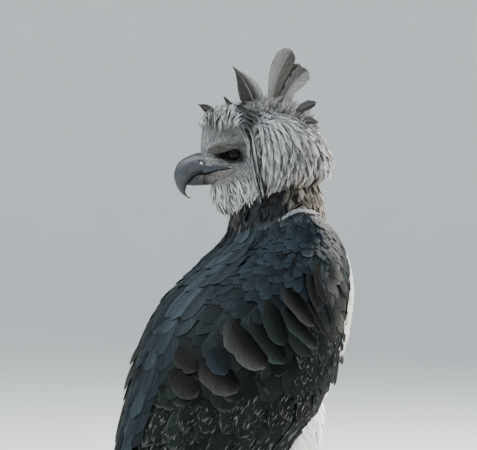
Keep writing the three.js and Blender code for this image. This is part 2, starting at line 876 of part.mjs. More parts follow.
// A round limb through stations of place and radius
function limb(stations, sides, tip) {
  const rings = stations.map(([place, radius], i) => {
    const before = stations[Math.max(i - 1, 0)][0];
    const after = i + 1 < stations.length ? stations[i + 1][0] : tip;
    const along = after.clone().sub(before).normalize();
    const aside = new THREE.Vector3().crossVectors(headUp, along).normalize();
    const up = new THREE.Vector3().crossVectors(along, aside);
    return Array.from({ length: sides }, (_, j) => {
      const round = (2 * Math.PI * j) / sides;
      return place
        .clone()
        .addScaledVector(aside, radius * Math.cos(round))
        .addScaledVector(up, radius * Math.sin(round));
    });
  });
  return skinned(rings, stations[0][0], tip);
}

const footHub = (side) => new THREE.Vector3(ankleForward + ballForward, side * footSpread, 0);

function toeLine(side, [heading, length, radius]) {
  const round = turn(side * heading);
  const way = new THREE.Vector3(Math.cos(round), Math.sin(round), 0);
  return (far, height) => footHub(side).addScaledVector(way, far).setZ(height);
}

// A toe: three padded joints that lie on the floor
function toe(side, measures, margin = 0) {
  const [, length, radius] = measures;
  const at = toeLine(side, measures);
  const pads = [0, 0.3, 0.5, 0.72, 1];
  const swell = [1.05, 1.08, 0.9, 1.02, 0.92];
  const stations = pads.map((share, i) => {
    const thick = radius * swell[i];
    return [at(hubReach + length * share, thick - soleDepth), thick + margin];
  });
  return limb(stations, 8, at(hubReach + length + radius * 0.55 + margin, radius * 0.8));
}

// A claw: a tapering arc from a toe's end to just over the floor
function claw(side, measures) {
  const [, length, radius, clawLength, clawRadius] = measures;
  const at = toeLine(side, measures);
  const steps = 5;
  const [rise, fall] = [turn(clawArc.rise), turn(clawArc.fall)];
  let far = hubReach + length - 2;
  const drop = (clawLength * (Math.cos(rise) - Math.cos(fall))) / (rise - fall);
  let height = Math.max(radius * 0.86, drop + clawArc.clear);
  const stations = [];
  for (let i = 0; i < steps; i++) {
    const share = i / steps;
    stations.push([at(far, height), clawRadius * Math.pow(1 - share, 0.75)]);
    const angle = rise + (fall - rise) * (share + 0.5 / steps);
    far += (clawLength / steps) * Math.cos(angle);
    height += (clawLength / steps) * Math.sin(angle);
  }
  return limb(stations, 7, at(far, height));
}

const floorBlock = (() => {
  const slab = new THREE.BoxGeometry(1600, 1600, 100).toNonIndexed();
  slab.deleteAttribute("normal");
  slab.deleteAttribute("uv");
  slab.translate(0, 0, -50);
  const place = slab.getAttribute("position");
  const points = Array.from({ length: place.count }, (_, i) =>
    new THREE.Vector3().fromBufferAttribute(place, i),
  );
  return solidOf(points, Array.from({ length: place.count / 3 }, (_, i) => [3 * i, 3 * i + 1, 3 * i + 2]));
})();

// The largest closed piece of a solid
function largest(solid) {
  return solid.decompose().reduce((most, piece) => (piece.volume() > most.volume() ? piece : most));
}

const group = new THREE.Group();

function addNode(name, solid, material) {
  const { vertProperties, triVerts } = largest(solid).getMesh();
  const geometry = new THREE.BufferGeometry();
  geometry.setAttribute("position", new THREE.BufferAttribute(vertProperties, 3));
  geometry.setIndex(new THREE.BufferAttribute(triVerts, 1));
  geometry.computeVertexNormals();
  const mesh = new THREE.Mesh(geometry, material);
  mesh.name = name;
  group.add(mesh);
}

// The trunk and what grows from it
const trunkCut = trunk(gap);
addNode("torso", trunk().add(joined(mantleFeathers()).subtract(neck(gap))), colours.white);

const headCut = headForm(gap);
addNode("neck", neck().subtract(trunkCut).subtract(headCut), colours.collar);

const upperCut = billHalf(upperBill, upperTip, gap);
const headFeathers = joined([...ruffFeathers(1), ...ruffFeathers(-1), ...crestFeathers()]);
let head = headForm().add(headFeathers.subtract(neck(gap)));
let upper = billHalf(upperBill, upperTip).subtract(headCut);
for (const side of [1, -1]) {
  head = head.subtract(eyeHollow(side)).add(lids(side));
  head = head.subtract(eyeBall(side, gap)).subtract(mouthSlit(side));
  upper = upper.subtract(nostril(side));
}
addNode("head", head, colours.grey);
addNode("upper_bill", upper, colours.bill);
addNode("lower_bill", billHalf(lowerBill, lowerTip).subtract(headCut).subtract(upperCut), colours.bill);

for (const [side, name] of [
  [1, "left"],
  [-1, "right"],
]) {
  addNode(`eye_${name}`, eyeBall(side), colours.iris);
  const thighCut = thigh(side, gap);
  const wing = joined([wingCore(side), ...wingFeathers(side)]);
  addNode(`wing_${name}`, wing.subtract(trunkCut).subtract(neck(gap)).subtract(thighCut), colours.slate);
  addNode(`thigh_${name}`, thigh(side).subtract(trunkCut), colours.white);
  const leg = shank(side).subtract(thighCut).subtract(floorBlock);
  addNode(`shank_${name}`, leg, colours.skin);
  let taken = shank(side, gap);
  for (const [digit, measures] of Object.entries(toes)) {
    const cutToe = toe(side, measures).subtract(taken).subtract(floorBlock);
    addNode(`toe_${digit}_${name}`, cutToe, colours.skin);
    taken = taken.add(toe(side, measures, gap));
  }
  for (const [digit, measures] of Object.entries(toes)) {
    addNode(`claw_${digit}_${name}`, claw(side, measures).subtract(taken), colours.claw);
  }
}
addNode("tail", tail().subtract(trunkCut), colours.slate);

group.position.copy(groundShift);
export default group;
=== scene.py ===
import math

import bpy
import numpy as np
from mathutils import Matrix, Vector
from mathutils.bvhtree import BVHTree


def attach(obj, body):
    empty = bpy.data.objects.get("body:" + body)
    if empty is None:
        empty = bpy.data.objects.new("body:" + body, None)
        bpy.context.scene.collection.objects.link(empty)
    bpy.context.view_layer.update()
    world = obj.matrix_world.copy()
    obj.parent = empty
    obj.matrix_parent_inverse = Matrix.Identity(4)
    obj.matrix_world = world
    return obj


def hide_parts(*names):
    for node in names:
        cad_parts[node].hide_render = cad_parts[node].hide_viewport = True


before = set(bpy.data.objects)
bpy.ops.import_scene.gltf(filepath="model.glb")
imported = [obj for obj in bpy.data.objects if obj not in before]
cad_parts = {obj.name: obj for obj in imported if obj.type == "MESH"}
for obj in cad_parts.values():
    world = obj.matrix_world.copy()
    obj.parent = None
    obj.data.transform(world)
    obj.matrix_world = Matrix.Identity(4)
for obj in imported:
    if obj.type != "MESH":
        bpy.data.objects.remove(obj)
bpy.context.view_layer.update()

# A harpy eagle. The tables are in millimetres and degrees, on the body's own axes, and meshes are in metres.
random = np.random.default_rng(11)
bodyShift = np.array((59.5, 0.0, 0.0))
sides = ((-1, "right"), (1, "left"))


def toMetres(points):
    return (np.asarray(points) + bodyShift) * 0.001


def curveThrough(pairs):
    # a smooth curve through pairs that never overshoots them
    xs, ys = np.array(sorted(pairs), float).T
    steps = np.diff(ys) / np.diff(xs)
    slopes = np.empty_like(ys)
    slopes[0], slopes[-1] = steps[0], steps[-1]
    product, total = steps[:-1] * steps[1:], steps[:-1] + steps[1:]
    slopes[1:-1] = np.where(product > 0, 2 * product / np.where(total == 0, 1, total), 0)

    def value(x):
        x = np.clip(x, xs[0], xs[-1])
        i = np.clip(np.searchsorted(xs, x) - 1, 0, len(steps) - 1)
        width = xs[i + 1] - xs[i]
        t = (x - xs[i]) / width
        bow = t * (1 - t) * width * (slopes[i] * (1 - t) - slopes[i + 1] * t)
        return ys[i] + (ys[i + 1] - ys[i]) * t * t * (3 - 2 * t) + bow
    return value


def columns(rows):
    return [curveThrough([(row[0], row[k]) for row in rows]) for k in range(1, len(rows[0]))]


def stepped(rows):
    # a curve for each column of a table, by the row's number
    return [curveThrough(list(enumerate(column))) for column in np.array(rows, float).T]


def smooth(low, high, x):
    t = np.clip((x - low) / (high - low), 0, 1)
    return t * t * (3 - 2 * t)


def unit(vectors):
    return vectors / np.maximum(np.linalg.norm(vectors, axis=-1, keepdims=True), 1e-9)


def varied(count, low, span):
    return low + span * random.random(count)


def scattered(count, spread):
    return spread * random.standard_normal(count)


def around(count, turn=2 * math.pi):
    return np.linspace(0, turn, count + 1)[:-1]


# The camera, where the photograph was taken from
viewPoint = {"azimuth": -35, "elevation": 2, "distance": 3.5, "height": 0.644, "aside": -0.006, "lens": 188.7}


def setCamera(view):
    azimuth, elevation = math.radians(view["azimuth"]), math.radians(view["elevation"])
    right = Vector((math.cos(azimuth), math.sin(azimuth), 0))
    back = Vector((math.sin(azimuth) * math.cos(elevation), -math.cos(azimuth) * math.cos(elevation),
                   math.sin(elevation)))
    target = right * view["aside"] + Vector((bodyShift[0] * 0.001, 0, view["height"]))
    bpy.ops.object.camera_add(location=target + back * view["distance"],
                              rotation=back.to_track_quat("Z", "Y").to_euler())
    camera = bpy.context.object
    camera.data.lens = view["lens"]
    camera.data.sensor_width = 36
    camera.data.clip_end = 50
    bpy.context.scene.camera = camera
    return target, right, back


bpy.ops.object.select_all(action="DESELECT")
target, toRight, toCamera = setCamera(viewPoint)

# Soft light: a cool sky from above and the left, and a warmer sun from behind on the right
lights = {
    "sky": {"place": (-1.3, 0.6, 2.3), "size": 2.0, "power": 135, "colour": (0.86, 0.93, 1.0)},
    "front": {"place": (-0.6, 2.5, 0.85), "size": 0.8, "power": 7, "colour": (0.9, 0.95, 1.0)},
    "side": {"place": (2.3, 0.1, 0.3), "size": 0.7, "power": 40, "colour": (1.0, 0.97, 0.93), "shine": False},
    "sun": {"place": (1.5, -1.7, 2.0), "size": 0.5, "power": 430, "colour": (1.0, 0.94, 0.86)},
}
for lightName, light in lights.items():
    side, near, high = light["place"]
    at = target + toRight * side + toCamera * near + Vector((0, 0, high))
    bpy.ops.object.light_add(type="AREA", location=at, rotation=(at - target).to_track_quat("Z", "Y").to_euler())
    lamp = bpy.context.object
    lamp.name = lightName + "Light"
    lamp.data.size = light["size"]
    lamp.data.energy = light["power"]
    lamp.data.color = light["colour"]
    lamp.visible_glossy = light.get("shine", True)

world = bpy.data.worlds.new("studio")
world.use_nodes = True
background = world.node_tree.nodes["Background"].inputs
background["Color"].default_value = (0.84, 0.89, 0.93, 1)
background["Strength"].default_value = 0.5
bpy.context.scene.world = world
print("camera and light set")


# Materials are built from these few steps
def startMaterial(name, roughness, coat=0.0, gloss=0.5, sheen=0.0):
    material = bpy.data.materials.new(name)
    material.use_nodes = True
    tree = material.node_tree
    shader = tree.nodes["Principled BSDF"].inputs
    for socket, value in (("Roughness", roughness), ("Coat Weight", coat), ("Coat Roughness", 0.12),
                          ("Sheen Weight", sheen), ("Specular IOR Level", gloss)):
        shader[socket].default_value = value
    return material, tree, shader


def feed(tree, socket, value):
    # gives a socket a number, a colour or another node's output
    if isinstance(value, tuple):
        socket.default_value = (*value, 1)
    elif isinstance(value, (int, float)):
        socket.default_value = value
    elif value is not None:
        tree.links.new(value, socket)


def addMath(tree, kind, *values):
    node = tree.nodes.new("ShaderNodeMath")
    node.operation = kind
    for socket, value in zip(node.inputs, values):
        feed(tree, socket, value)
    return node.outputs[0]


def addMix(tree, share, first, second, blend="MIX"):
    node = tree.nodes.new("ShaderNodeMix")
    node.data_type = "RGBA"
    node.blend_type = blend
    for k, value in ((0, share), (6, first), (7, second)):
        feed(tree, node.inputs[k], value)
    return node.outputs[2]


def addRange(tree, value, low, high, to=(0, 1)):
    node = tree.nodes.new("ShaderNodeMapRange")
    node.interpolation_type = "SMOOTHSTEP"
    for socket, given in zip(node.inputs, (value, low, high, *to)):
        feed(tree, socket, given)
    return node.outputs["Result"]


def addNoise(tree, vector, scale, detail=2.0, roughness=0.5):
    node = tree.nodes.new("ShaderNodeTexNoise")
    for socket, value in (("Vector", vector), ("Scale", scale), ("Detail", detail), ("Roughness", roughness)):
        feed(tree, node.inputs[socket], value)
    return node.outputs["Fac"]


def addVector(tree, *values):
    node = tree.nodes.new("ShaderNodeCombineXYZ")
    for socket, value in zip(node.inputs, values):
        feed(tree, socket, value)
    return node.outputs[0]


def addSplit(tree, vector):
    node = tree.nodes.new("ShaderNodeSeparateXYZ")
    feed(tree, node.inputs[0], vector)
    return node.outputs


def addPaint(tree):
    node = tree.nodes.new("ShaderNodeAttribute")
    node.attribute_name = "paint"
    return node.outputs


def addUv(tree, name):
    node = tree.nodes.new("ShaderNodeUVMap")
    node.uv_map = name
    return node.outputs["UV"]


def addPlace(tree):
    return tree.nodes.new("ShaderNodeTexCoord").outputs["Object"]


def addBump(tree, shader, height, strength, distance):
    node = tree.nodes.new("ShaderNodeBump")
    for socket, value in (("Strength", strength), ("Distance", distance), ("Height", height)):
        feed(tree, node.inputs[socket], value)
    feed(tree, shader["Normal"], node.outputs["Normal"])


def grainMaterial(name, roughness, noise, first, second, bump=None, reach=None, **more):
    # two colours mixed by a noise, or the mesh's own paint made lighter and darker by it
    material, tree, shader = startMaterial(name, roughness, **more)
    grain = addNoise(tree, addPlace(tree), *noise)
    if first == "paint":
        share = addRange(tree, grain, *reach, second)
        colour = addMix(tree, 1.0, addPaint(tree)["Color"], share, "MULTIPLY")
    else:
        colour = addMix(tree, addRange(tree, grain, *reach) if reach else grain, first, second)
    feed(tree, shader["Base Color"], colour)
    if bump:
        addBump(tree, shader, grain, *bump)
    return material


vaneSockets = (("Paint", "Color"), ("Rim", "Float"), ("Place", "Vector"), ("Barbs", "Float"), ("Streak", "Float"),
               ("Shaft", "Float"), ("Shaft Colour", "Color"), ("Fleck", "Float"), ("Fleck Count", "Float"),
               ("Bars", "Float"), ("Bar Count", "Float"), ("Bar Colour", "Color"), ("Rim Colour", "Color"))


def makeVaneGroup():
    # a feather's barbs, bars, flecks, shaft and pale rim, over its own colour
    tree = bpy.data.node_groups.new("featherVane", "ShaderNodeTree")
    for name, kind in vaneSockets:
        tree.interface.new_socket(name, in_out="INPUT", socket_type="NodeSocket" + kind)
    for name, kind in (("Colour", "Color"), ("Height", "Float")):
        tree.interface.new_socket(name, in_out="OUTPUT", socket_type="NodeSocket" + kind)
    given = tree.nodes.new("NodeGroupInput").outputs

    def times(first, second):
        return addMath(tree, "MULTIPLY", first, second)

    def timesPlus(first, second, third):
        return addMath(tree, "MULTIPLY_ADD", first, second, third)

    split = addSplit(tree, given["Place"])
    seed, inside, along = addMath(tree, "FLOOR", split[0]), addMath(tree, "FRACT", split[0]), split[1]
    across = times(addMath(tree, "ABSOLUTE", addMath(tree, "SUBTRACT", inside, 0.5)), 2.0)
    slanted = times(timesPlus(across, -0.3, along), given["Barbs"])
    barb = addNoise(tree, addVector(tree, times(inside, 3.0), slanted, times(seed, 7.3)), 1, 3, 0.6)
    tone = timesPlus(addMath(tree, "SUBTRACT", barb, 0.5), given["Streak"], 1.0)
    colour = addMix(tree, 1.0, given["Paint"], tone, "MULTIPLY")
    turns = times(given["Bar Count"], 6.283)
    wave = addMath(tree, "SINE", times(timesPlus(barb, 0.05, along), turns))
    bars = times(addRange(tree, wave, 0.1, 0.45), given["Bars"])
    colour = addMix(tree, bars, colour, given["Bar Colour"])
    down = times(along, times(given["Fleck Count"], 0.56))
    fleckPlace = addVector(tree, times(inside, given["Fleck Count"]), down, seed)
    fleck = addRange(tree, addNoise(tree, fleckPlace, 1, 2, 0.6), 0.56, 0.66)
    colour = addMix(tree, times(fleck, given["Fleck"]), colour, given["Rim Colour"])
    edge = addMath(tree, "MAXIMUM", addRange(tree, across, 0.76, 1.0), addRange(tree, along, 0.93, 1.0))
    ragged = times(times(edge, given["Rim"]), addRange(tree, barb, 0.4, 0.6, (0.2, 1.0)))
    colour = addMix(tree, ragged, colour, given["Rim Colour"])
    shaft = addRange(tree, across, 0.03, 0.09, (1, 0))
    colour = addMix(tree, times(shaft, given["Shaft"]), colour, given["Shaft Colour"])
    out = tree.nodes.new("NodeGroupOutput")
    feed(tree, out.inputs["Colour"], colour)
    feed(tree, out.inputs["Height"], timesPlus(shaft, 0.8, barb))
    return tree


vaneGroup = makeVaneGroup()

# Looks of the feather tracts: keys that start with a capital are sockets of the vane group
plumage = {
    "slate": {"roughness": 0.55, "gloss": 0.07, "relief": 0.0006, "Barbs": 34, "Streak": 1.7, "Shaft": 0.45,
              "Shaft Colour": (0.003, 0.003, 0.004), "Rim Colour": (0.13, 0.12, 0.11)},
    "mottled": {"roughness": 0.6, "gloss": 0.05, "relief": 0.0006, "Barbs": 60, "Streak": 1.8, "Shaft": 0.3,
                "Shaft Colour": (0.003, 0.003, 0.003), "Fleck": 0.85, "Rim Colour": (0.13, 0.125, 0.115)},
    "wrist": {"roughness": 0.6, "gloss": 0.05, "relief": 0.0006, "Barbs": 30, "Streak": 1.8, "Shaft": 0.3,
              "Shaft Colour": (0.003, 0.003, 0.003), "Fleck": 0.8, "Fleck Count": 6.5,
              "Rim Colour": (0.13, 0.125, 0.115)},
    "grey": {"roughness": 0.9, "gloss": 0.04, "relief": 0.0008, "sheen": 0.1, "Barbs": 12, "Streak": 1.8,
             "Shaft": 0.5, "Shaft Colour": (0.07, 0.065, 0.06), "Rim Colour": (0.5, 0.47, 0.43)},
    "crest": {"roughness": 0.8, "gloss": 0.05, "relief": 0.0006, "Barbs": 48, "Streak": 2.2, "Shaft": 0.45,
              "Shaft Colour": (0.3, 0.27, 0.24), "Fleck": 0.12, "Rim Colour": (0.3, 0.27, 0.24)},
    "disc": {"roughness": 0.9, "gloss": 0.04, "relief": 0.0004, "sheen": 0.1, "Barbs": 20, "Streak": 0.7,
             "Rim Colour": (0.5, 0.46, 0.4)},
    "collar": {"roughness": 0.8, "gloss": 0.05, "relief": 0.0006, "Barbs": 26, "Streak": 1.1, "Shaft": 0.3,
               "Shaft Colour": (0.006, 0.006, 0.006), "Rim Colour": (0.13, 0.1, 0.08)},
    "white": {"roughness": 0.9, "gloss": 0.1, "relief": 0.0009, "sheen": 0.05, "Barbs": 16, "Streak": 1.0,
              "Shaft": 0.25, "Shaft Colour": (0.4, 0.37, 0.33), "Rim Colour": (0.85, 0.82, 0.77)},
    "barred": {"roughness": 0.9, "gloss": 0.1, "relief": 0.0009, "sheen": 0.05, "Barbs": 18, "Streak": 0.6,
               "Shaft": 0.2, "Shaft Colour": (0.3, 0.28, 0.25), "Bars": 0.85, "Bar Count": 2.6,
               "Bar Colour": (0.05, 0.047, 0.045), "Rim Colour": (0.8, 0.77, 0.72)},
    "tail": {"roughness": 0.6, "gloss": 0.1, "relief": 0.0004, "Barbs": 160, "Streak": 0.7, "Shaft": 0.5,
             "Shaft Colour": (0.012, 0.011, 0.01), "Fleck": 0.12, "Bars": 0.85, "Bar Count": 3.7,
             "Bar Colour": (0.12, 0.108, 0.095), "Rim Colour": (0.2, 0.19, 0.175)},
}


def featherMaterial(name, look):
    material, tree, shader = startMaterial(name, look["roughness"], gloss=look["gloss"], sheen=look.get("sheen", 0.0))
    group = tree.nodes.new("ShaderNodeGroup")
    group.node_tree = vaneGroup
    for socket, kind in vaneSockets[3:]:
        value = look.get(socket, (0.0, 0.0, 0.0) if kind == "Color" else 16.0 if socket == "Fleck Count" else 0.0)
        feed(tree, group.inputs[socket], value)
    paint = addPaint(tree)
    for socket, value in (("Paint", paint["Color"]), ("Rim", paint["Alpha"]), ("Place", addUv(tree, "vane"))):
        feed(tree, group.inputs[socket], value)
    feed(tree, shader["Base Color"], group.outputs["Colour"])
    addBump(tree, shader, group.outputs["Height"], 0.5, look["relief"])
    return material


featherLooks = {name: featherMaterial(name + "Feathers", look) for name, look in plumage.items()}

# Horizontal sections of the whole body with its wings: height, middle, half depth, half width
coatRows = [
    (687, 46, 20, 44), (681, 48, 38, 62), (668, 52, 50, 79), (650, 60, 58, 91), (628, 67, 70, 102),
    (594, 54, 97, 120), (538, 25, 138, 133), (480, 3, 153, 138), (398, -22, 157, 136), (331, -54, 146, 124),
    (280, -88, 120, 104), (230, -126, 96, 82), (185, -160, 78, 60), (150, -184, 58, 46)]
# Sections of the trunk under the wings
trunkRows = [
    (664, 58, 24, 40), (650, 65, 46, 62), (628, 71, 66, 80), (594, 60, 93, 96), (538, 33, 132, 107),
    (480, 11, 147, 113), (430, -4, 146, 113), (380, -26, 132, 108), (331, -60, 108, 96), (300, -88, 80, 76),
    (278, -113, 50, 50), (266, -126, 24, 26)]
# Neck: height, forward, aside, radius along the head, radius across it
neckRows = [
    (606, 64, 0, 50, 50), (625, 63, 0, 64, 64), (650, 62, 1, 70, 62), (680, 59, 3, 71, 51),
    (705, 54, 6, 66, 44), (730, 48, 9, 54, 36), (748, 44, 11, 38, 26)]
# Head: forward along the bill, top, bottom, half width
headRows = [
    (-89, -12, -30, 12), (-82, 8, -45, 30), (-65, 33, -58, 49), (-40, 53, -66, 61), (-12, 62, -73, 65),
    (8, 63, -80, 61), (22, 62, -86, 51), (40, 61, -88, 42), (60, 57, -83, 33), (75, 50, -48, 26),
    (84, 40, -33, 20), (88, 24, -18, 12)]
# Feathered thigh: height, forward, radius fore and aft, radius aside
thighRows = [
    (420, 30, 40, 30), (380, 26, 56, 43), (330, 15, 54, 46), (280, 2, 47, 41), (230, -10, 39, 35),
    (185, -19, 32, 29), (156, -23, 26, 24)]
# A folded wing by height: its front and back edge, in degrees round from the breast, and its depth
frontEdge = curveThrough([(687, 50), (640, 44), (600, 43), (540, 46), (480, 51), (434, 57), (398, 66),
                          (331, 77), (280, 88), (230, 104), (185, 122), (150, 138)])
backEdge = curveThrough([(687, 128), (650, 138), (628, 148), (594, 158), (538, 163), (398, 165), (331, 164),
                         (280, 162), (230, 158), (185, 152), (150, 144)])
wingDepth = curveThrough([(687, 24), (640, 38), (540, 32), (480, 29), (430, 25), (380, 21), (331, 18), (270, 15)])

headCentre = np.array((44.0, 11.0, 748.0))
headTurn = math.radians(145)
headForward = np.array((math.cos(headTurn), math.sin(headTurn), 0.0))
headAside = np.array((-math.sin(headTurn), math.cos(headTurn), 0.0))
headUp = np.array((0.0, 0.0, 1.0))
headFrame = np.stack((headForward, headAside, headUp))
footSpread = 74
tailRoot = np.array((-92.0, 0.0, 346.0))
tailSlope = math.radians(60)
tailAlong = np.array((-math.cos(tailSlope), 0.0, -math.sin(tailSlope)))
tailAside = np.array((0.0, 1.0, 0.0))
tailUp = np.cross(tailAlong, tailAside)

coatMiddle, coatDepth, coatWidth = columns(coatRows)
trunkCurves = columns(trunkRows)
neckAhead, neckAside, neckLong, neckWide = columns(neckRows)
headTop, headBottom, headWidth = columns(headRows)
thighAhead, thighDeep, thighWide = columns(thighRows)


def stacked(x, y, z):
    return np.stack(np.broadcast_arrays(x, y, z), -1).astype(float)


def onHead(forward, aside, up):
    return headCentre + stacked(forward, aside, up) @ headFrame


def headPlace(points):
    return np.moveaxis((points - headCentre) @ headFrame.T, -1, 0)


# Each surface takes two coordinates of its own and a lift off it
def onOval(middle, depth, width, height, angle, lift, aside=0.0, side=1):
    turned = np.radians(angle)
    return stacked(middle(height) + (depth(height) + lift) * np.cos(turned),
                   aside + side * (width(height) + lift) * np.sin(turned), height)


def onCoat(height, angle, lift=0.0, side=-1):
    return onOval(coatMiddle, coatDepth, coatWidth, height, angle, lift, side=side)


def onTrunk(height, angle, lift):
    return onOval(*trunkCurves, height, angle, lift)


def onThigh(side):
    return lambda height, angle, lift: onOval(thighAhead, thighDeep, thighWide, height, angle, lift,
                                              side * footSpread)


def onNeck(height, angle, lift):
    turned = np.radians(angle)
    middle = stacked(neckAhead(height), neckAside(height), height)
    return (middle + ((neckLong(height) + lift) * np.cos(turned))[..., None] * headForward
            + ((neckWide(height) + lift) * np.sin(turned))[..., None] * headAside)


def onHeadSkin(forward, angle, lift):
    turned = np.radians(angle)
    out = lift - 7 * (1 - smooth(10, 40, forward))
    middle = (headTop(forward) + headBottom(forward)) / 2
    half = (headTop(forward) - headBottom(forward)) / 2 + out
    level, rise = np.cos(turned), np.sin(turned)
    power = np.where(rise < 0, 0.65, 1)
    return onHead(forward, (headWidth(forward) + out) * np.sign(level) * np.abs(level) ** power,
                  middle + half * rise)


def wingAngle(height, share):
    return frontEdge(height) + (backEdge(height) - frontEdge(height)) * share


def onWing(side):
    return lambda height, share, lift=0.0: onCoat(height, wingAngle(height, share), lift, side)


def onTail(along, aside, lift):
    along, aside, lift = np.broadcast_arrays(along, aside, lift)
    return (tailRoot + along[..., None] * tailAlong + aside[..., None] * tailAside
            + lift[..., None] * tailUp)


# Meshes
def meshPoints(mesh):
    points = np.empty(len(mesh.vertices) * 3)
    mesh.vertices.foreach_get("co", points)
    return points.reshape(-1, 3) * 1000 - bodyShift


def setMeshPoints(mesh, points):
    mesh.vertices.foreach_set("co", toMetres(points).ravel())
    mesh.update()


def setPaint(mesh, colours):
    # a colour for each vertex, with the rim's strength as its fourth part
    if colours.shape[-1] == 3:
        colours = np.hstack((colours, np.ones((len(colours), 1))))
    layer = mesh.color_attributes.new("paint", "FLOAT_COLOR", "POINT")
    layer.data.foreach_set("color", colours.astype(np.float32).ravel())


def addPiece(name, mesh, material=None):
    piece = bpy.data.objects.new(name, mesh)
    bpy.context.collection.objects.link(piece)
    if material:
        finishPiece(piece, material)
    return piece


def finishPiece(piece, material):
    piece.data.materials.append(material)
    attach(piece, "root")


def makePiece(name, points, faces, material=None):
    mesh = bpy.data.meshes.new(name)
    mesh.from_pydata(toMetres(points).tolist(), [], faces)
    mesh.update()
    mesh.shade_smooth()
    return addPiece(name, mesh, material)


def loft(rings, lastPole=None):
    # quads between rings of points, with a fan at each end about a pole
    count, sides = rings.shape[:2]
    turn = [(j, (j + 1) % sides) for j in range(sides)]
    faces = [(i + j, i + k, i + sides + k, i + sides + j)
             for i in range(0, (count - 1) * sides, sides) for j, k in turn]
    first, end = count * sides, (count - 1) * sides
    faces += [(first, k, j) for j, k in turn]
    faces += [(first + 1, end + j, end + k) for j, k in turn]
    poles = [rings[0].mean(0), rings[-1].mean(0) if lastPole is None else lastPole]
    return np.vstack((rings.reshape(-1, 3), poles)), faces


def pickOnly(*pieces):
    bpy.ops.object.select_all(action="DESELECT")
    for piece in pieces:
        piece.select_set(True)
    bpy.context.view_layer.objects.active = pieces[0]


def editMesh(piece, change):
    pickOnly(piece)
    bpy.ops.object.mode_set(mode="EDIT")
    bpy.ops.mesh.select_all(action="SELECT")
    change()
    bpy.ops.object.mode_set(mode="OBJECT")


def fixNormals():
    bpy.ops.mesh.normals_make_consistent(inside=False)


def applyModifier(piece, kind, **values):
    modifier = piece.modifiers.new(kind.lower(), kind)
    for key, value in values.items():
        setattr(modifier, key, value)
    pickOnly(piece)
    bpy.ops.object.modifier_apply(modifier=modifier.name)


# The skin: one surface through body, neck, head, wings and thighs, under the coat by its depth
skinDepth = {"trunk": 7, "neck": 8, "head": 1.5, "wing": 8, "thigh": 6}
skinGrain, unwrapGrain = 0.003, 0.011


def rings(surface, along, count, depth):
    return loft(surface(along[:, None], around(count, 360)[None], -depth))


def wingShell(side):
    steps = np.linspace(0, 1, 26)[:, None]
    angles = around(40)[None]
    share = 0.5 - 0.49 * np.sign(np.cos(angles)) * np.abs(np.cos(angles)) ** 0.7
    height = 672 - 40 * np.abs(share - 0.3) ** 1.4 - (372 + 28 * share) * steps ** 1.2
    depth = wingDepth(height) - skinDepth["wing"] + 6
    bulge = np.sin(angles) * np.minimum(1, 4 * np.minimum(steps, 1 - steps) + 0.3)
    return loft(onWing(side)(height, share, -skinDepth["wing"] - depth * (0.5 - 0.5 * bulge)))


def tailRings():
    along = np.array((-20, 20, 70, 110, 140, 155))[:, None]
    wide = np.array((24, 28, 31, 28, 22, 10))[:, None]
    deep = np.array((20, 20, 18, 14, 10, 5))[:, None]
    turned = around(24)[None]
    return loft(onTail(along + 0 * turned, wide * np.cos(turned), deep * np.sin(turned)))


def makeSkin():
    parts = [rings(onTrunk, np.linspace(664, 266, 26), 48, skinDepth["trunk"]),
             rings(onNeck, np.linspace(606, 748, 14), 40, skinDepth["neck"]),
             rings(onHeadSkin, -89 + 177 * np.linspace(0, 1, 40) ** 0.9, 48, skinDepth["head"]),
             tailRings()]
    for side, _ in sides:
        parts += [rings(onThigh(side), np.linspace(418, 156, 18), 32, skinDepth["thigh"]), wingShell(side)]
    pieces = [makePiece("skinPart", points, faces) for points, faces in parts]
    for piece in pieces:
        editMesh(piece, fixNormals)
    pickOnly(*pieces)
    bpy.ops.object.join()
    skin = bpy.context.object
    skin.name = skin.data.name = "skin"
    applyModifier(skin, "REMESH", mode="VOXEL", voxel_size=skinGrain, use_smooth_shade=True)
    applyModifier(skin, "SMOOTH", factor=0.5, iterations=6)
    return skin


# Relief of the face: hollows (forward, up, reach ahead, reach up, depth), and folds (line, reach, depth)
faceHollows = [(50, -6, 23, 9.5, 10.5), (84, -39, 28, 12, 15)]
faceFolds = [
    ([(26, 9), (38, 11), (52, 10), (68, 5), (78, 0)], 4.4, -8.0),
    ([(33, 48), (20, 31), (12, 15), (7.5, -4), (4, -25), (1, -41), (-3, -69)], 4, 4.5),
    ([(41, 48), (28, 31), (20, 15), (14, -4), (10, -25), (7, -41), (3, -69)], 5, -3.5),
    ([(76, -33), (60, -33), (46, -29), (38, -20)], 4, -1.6)]


def distanceToLine(forward, up, line):
    line = np.array(line, float)
    best = np.full(forward.shape, 1e9)
    for (ax, ay), (bx, by) in zip(line[:-1], line[1:]):
        length = (bx - ax) ** 2 + (by - ay) ** 2
        t = np.clip(((forward - ax) * (bx - ax) + (up - ay) * (by - ay)) / length, 0, 1)
        best = np.minimum(best, np.hypot(forward - ax - t * (bx - ax), up - ay - t * (by - ay)))
    return best


def inEllipse(forward, up, middle, half):
    return np.hypot((forward - middle[0]) / half[0], (up - middle[1]) / half[1]) < 1


def shapeFace(skin):
    points = meshPoints(skin.data)
    forward, aside, up = headPlace(points)
    depth = np.zeros_like(forward)
    for ahead, high, reach, tall, deep in faceHollows:
        depth += deep * (1 - smooth(0.35, 1.0, np.hypot((forward - ahead) / reach, (up - high) / tall)))
    for line, reach, deep in faceFolds:
        depth += deep * np.exp(-(distanceToLine(forward, up, line) / reach) ** 2)
    onSide = smooth(6, 16, np.abs(aside)) * smooth(-95, -80, up) * (forward > -20)
    setMeshPoints(skin.data, points - (depth * onSide * np.sign(aside))[:, None] * headAside)


skin = makeSkin()
shapeFace(skin)
print("skin made:", len(skin.data.polygons), "faces")


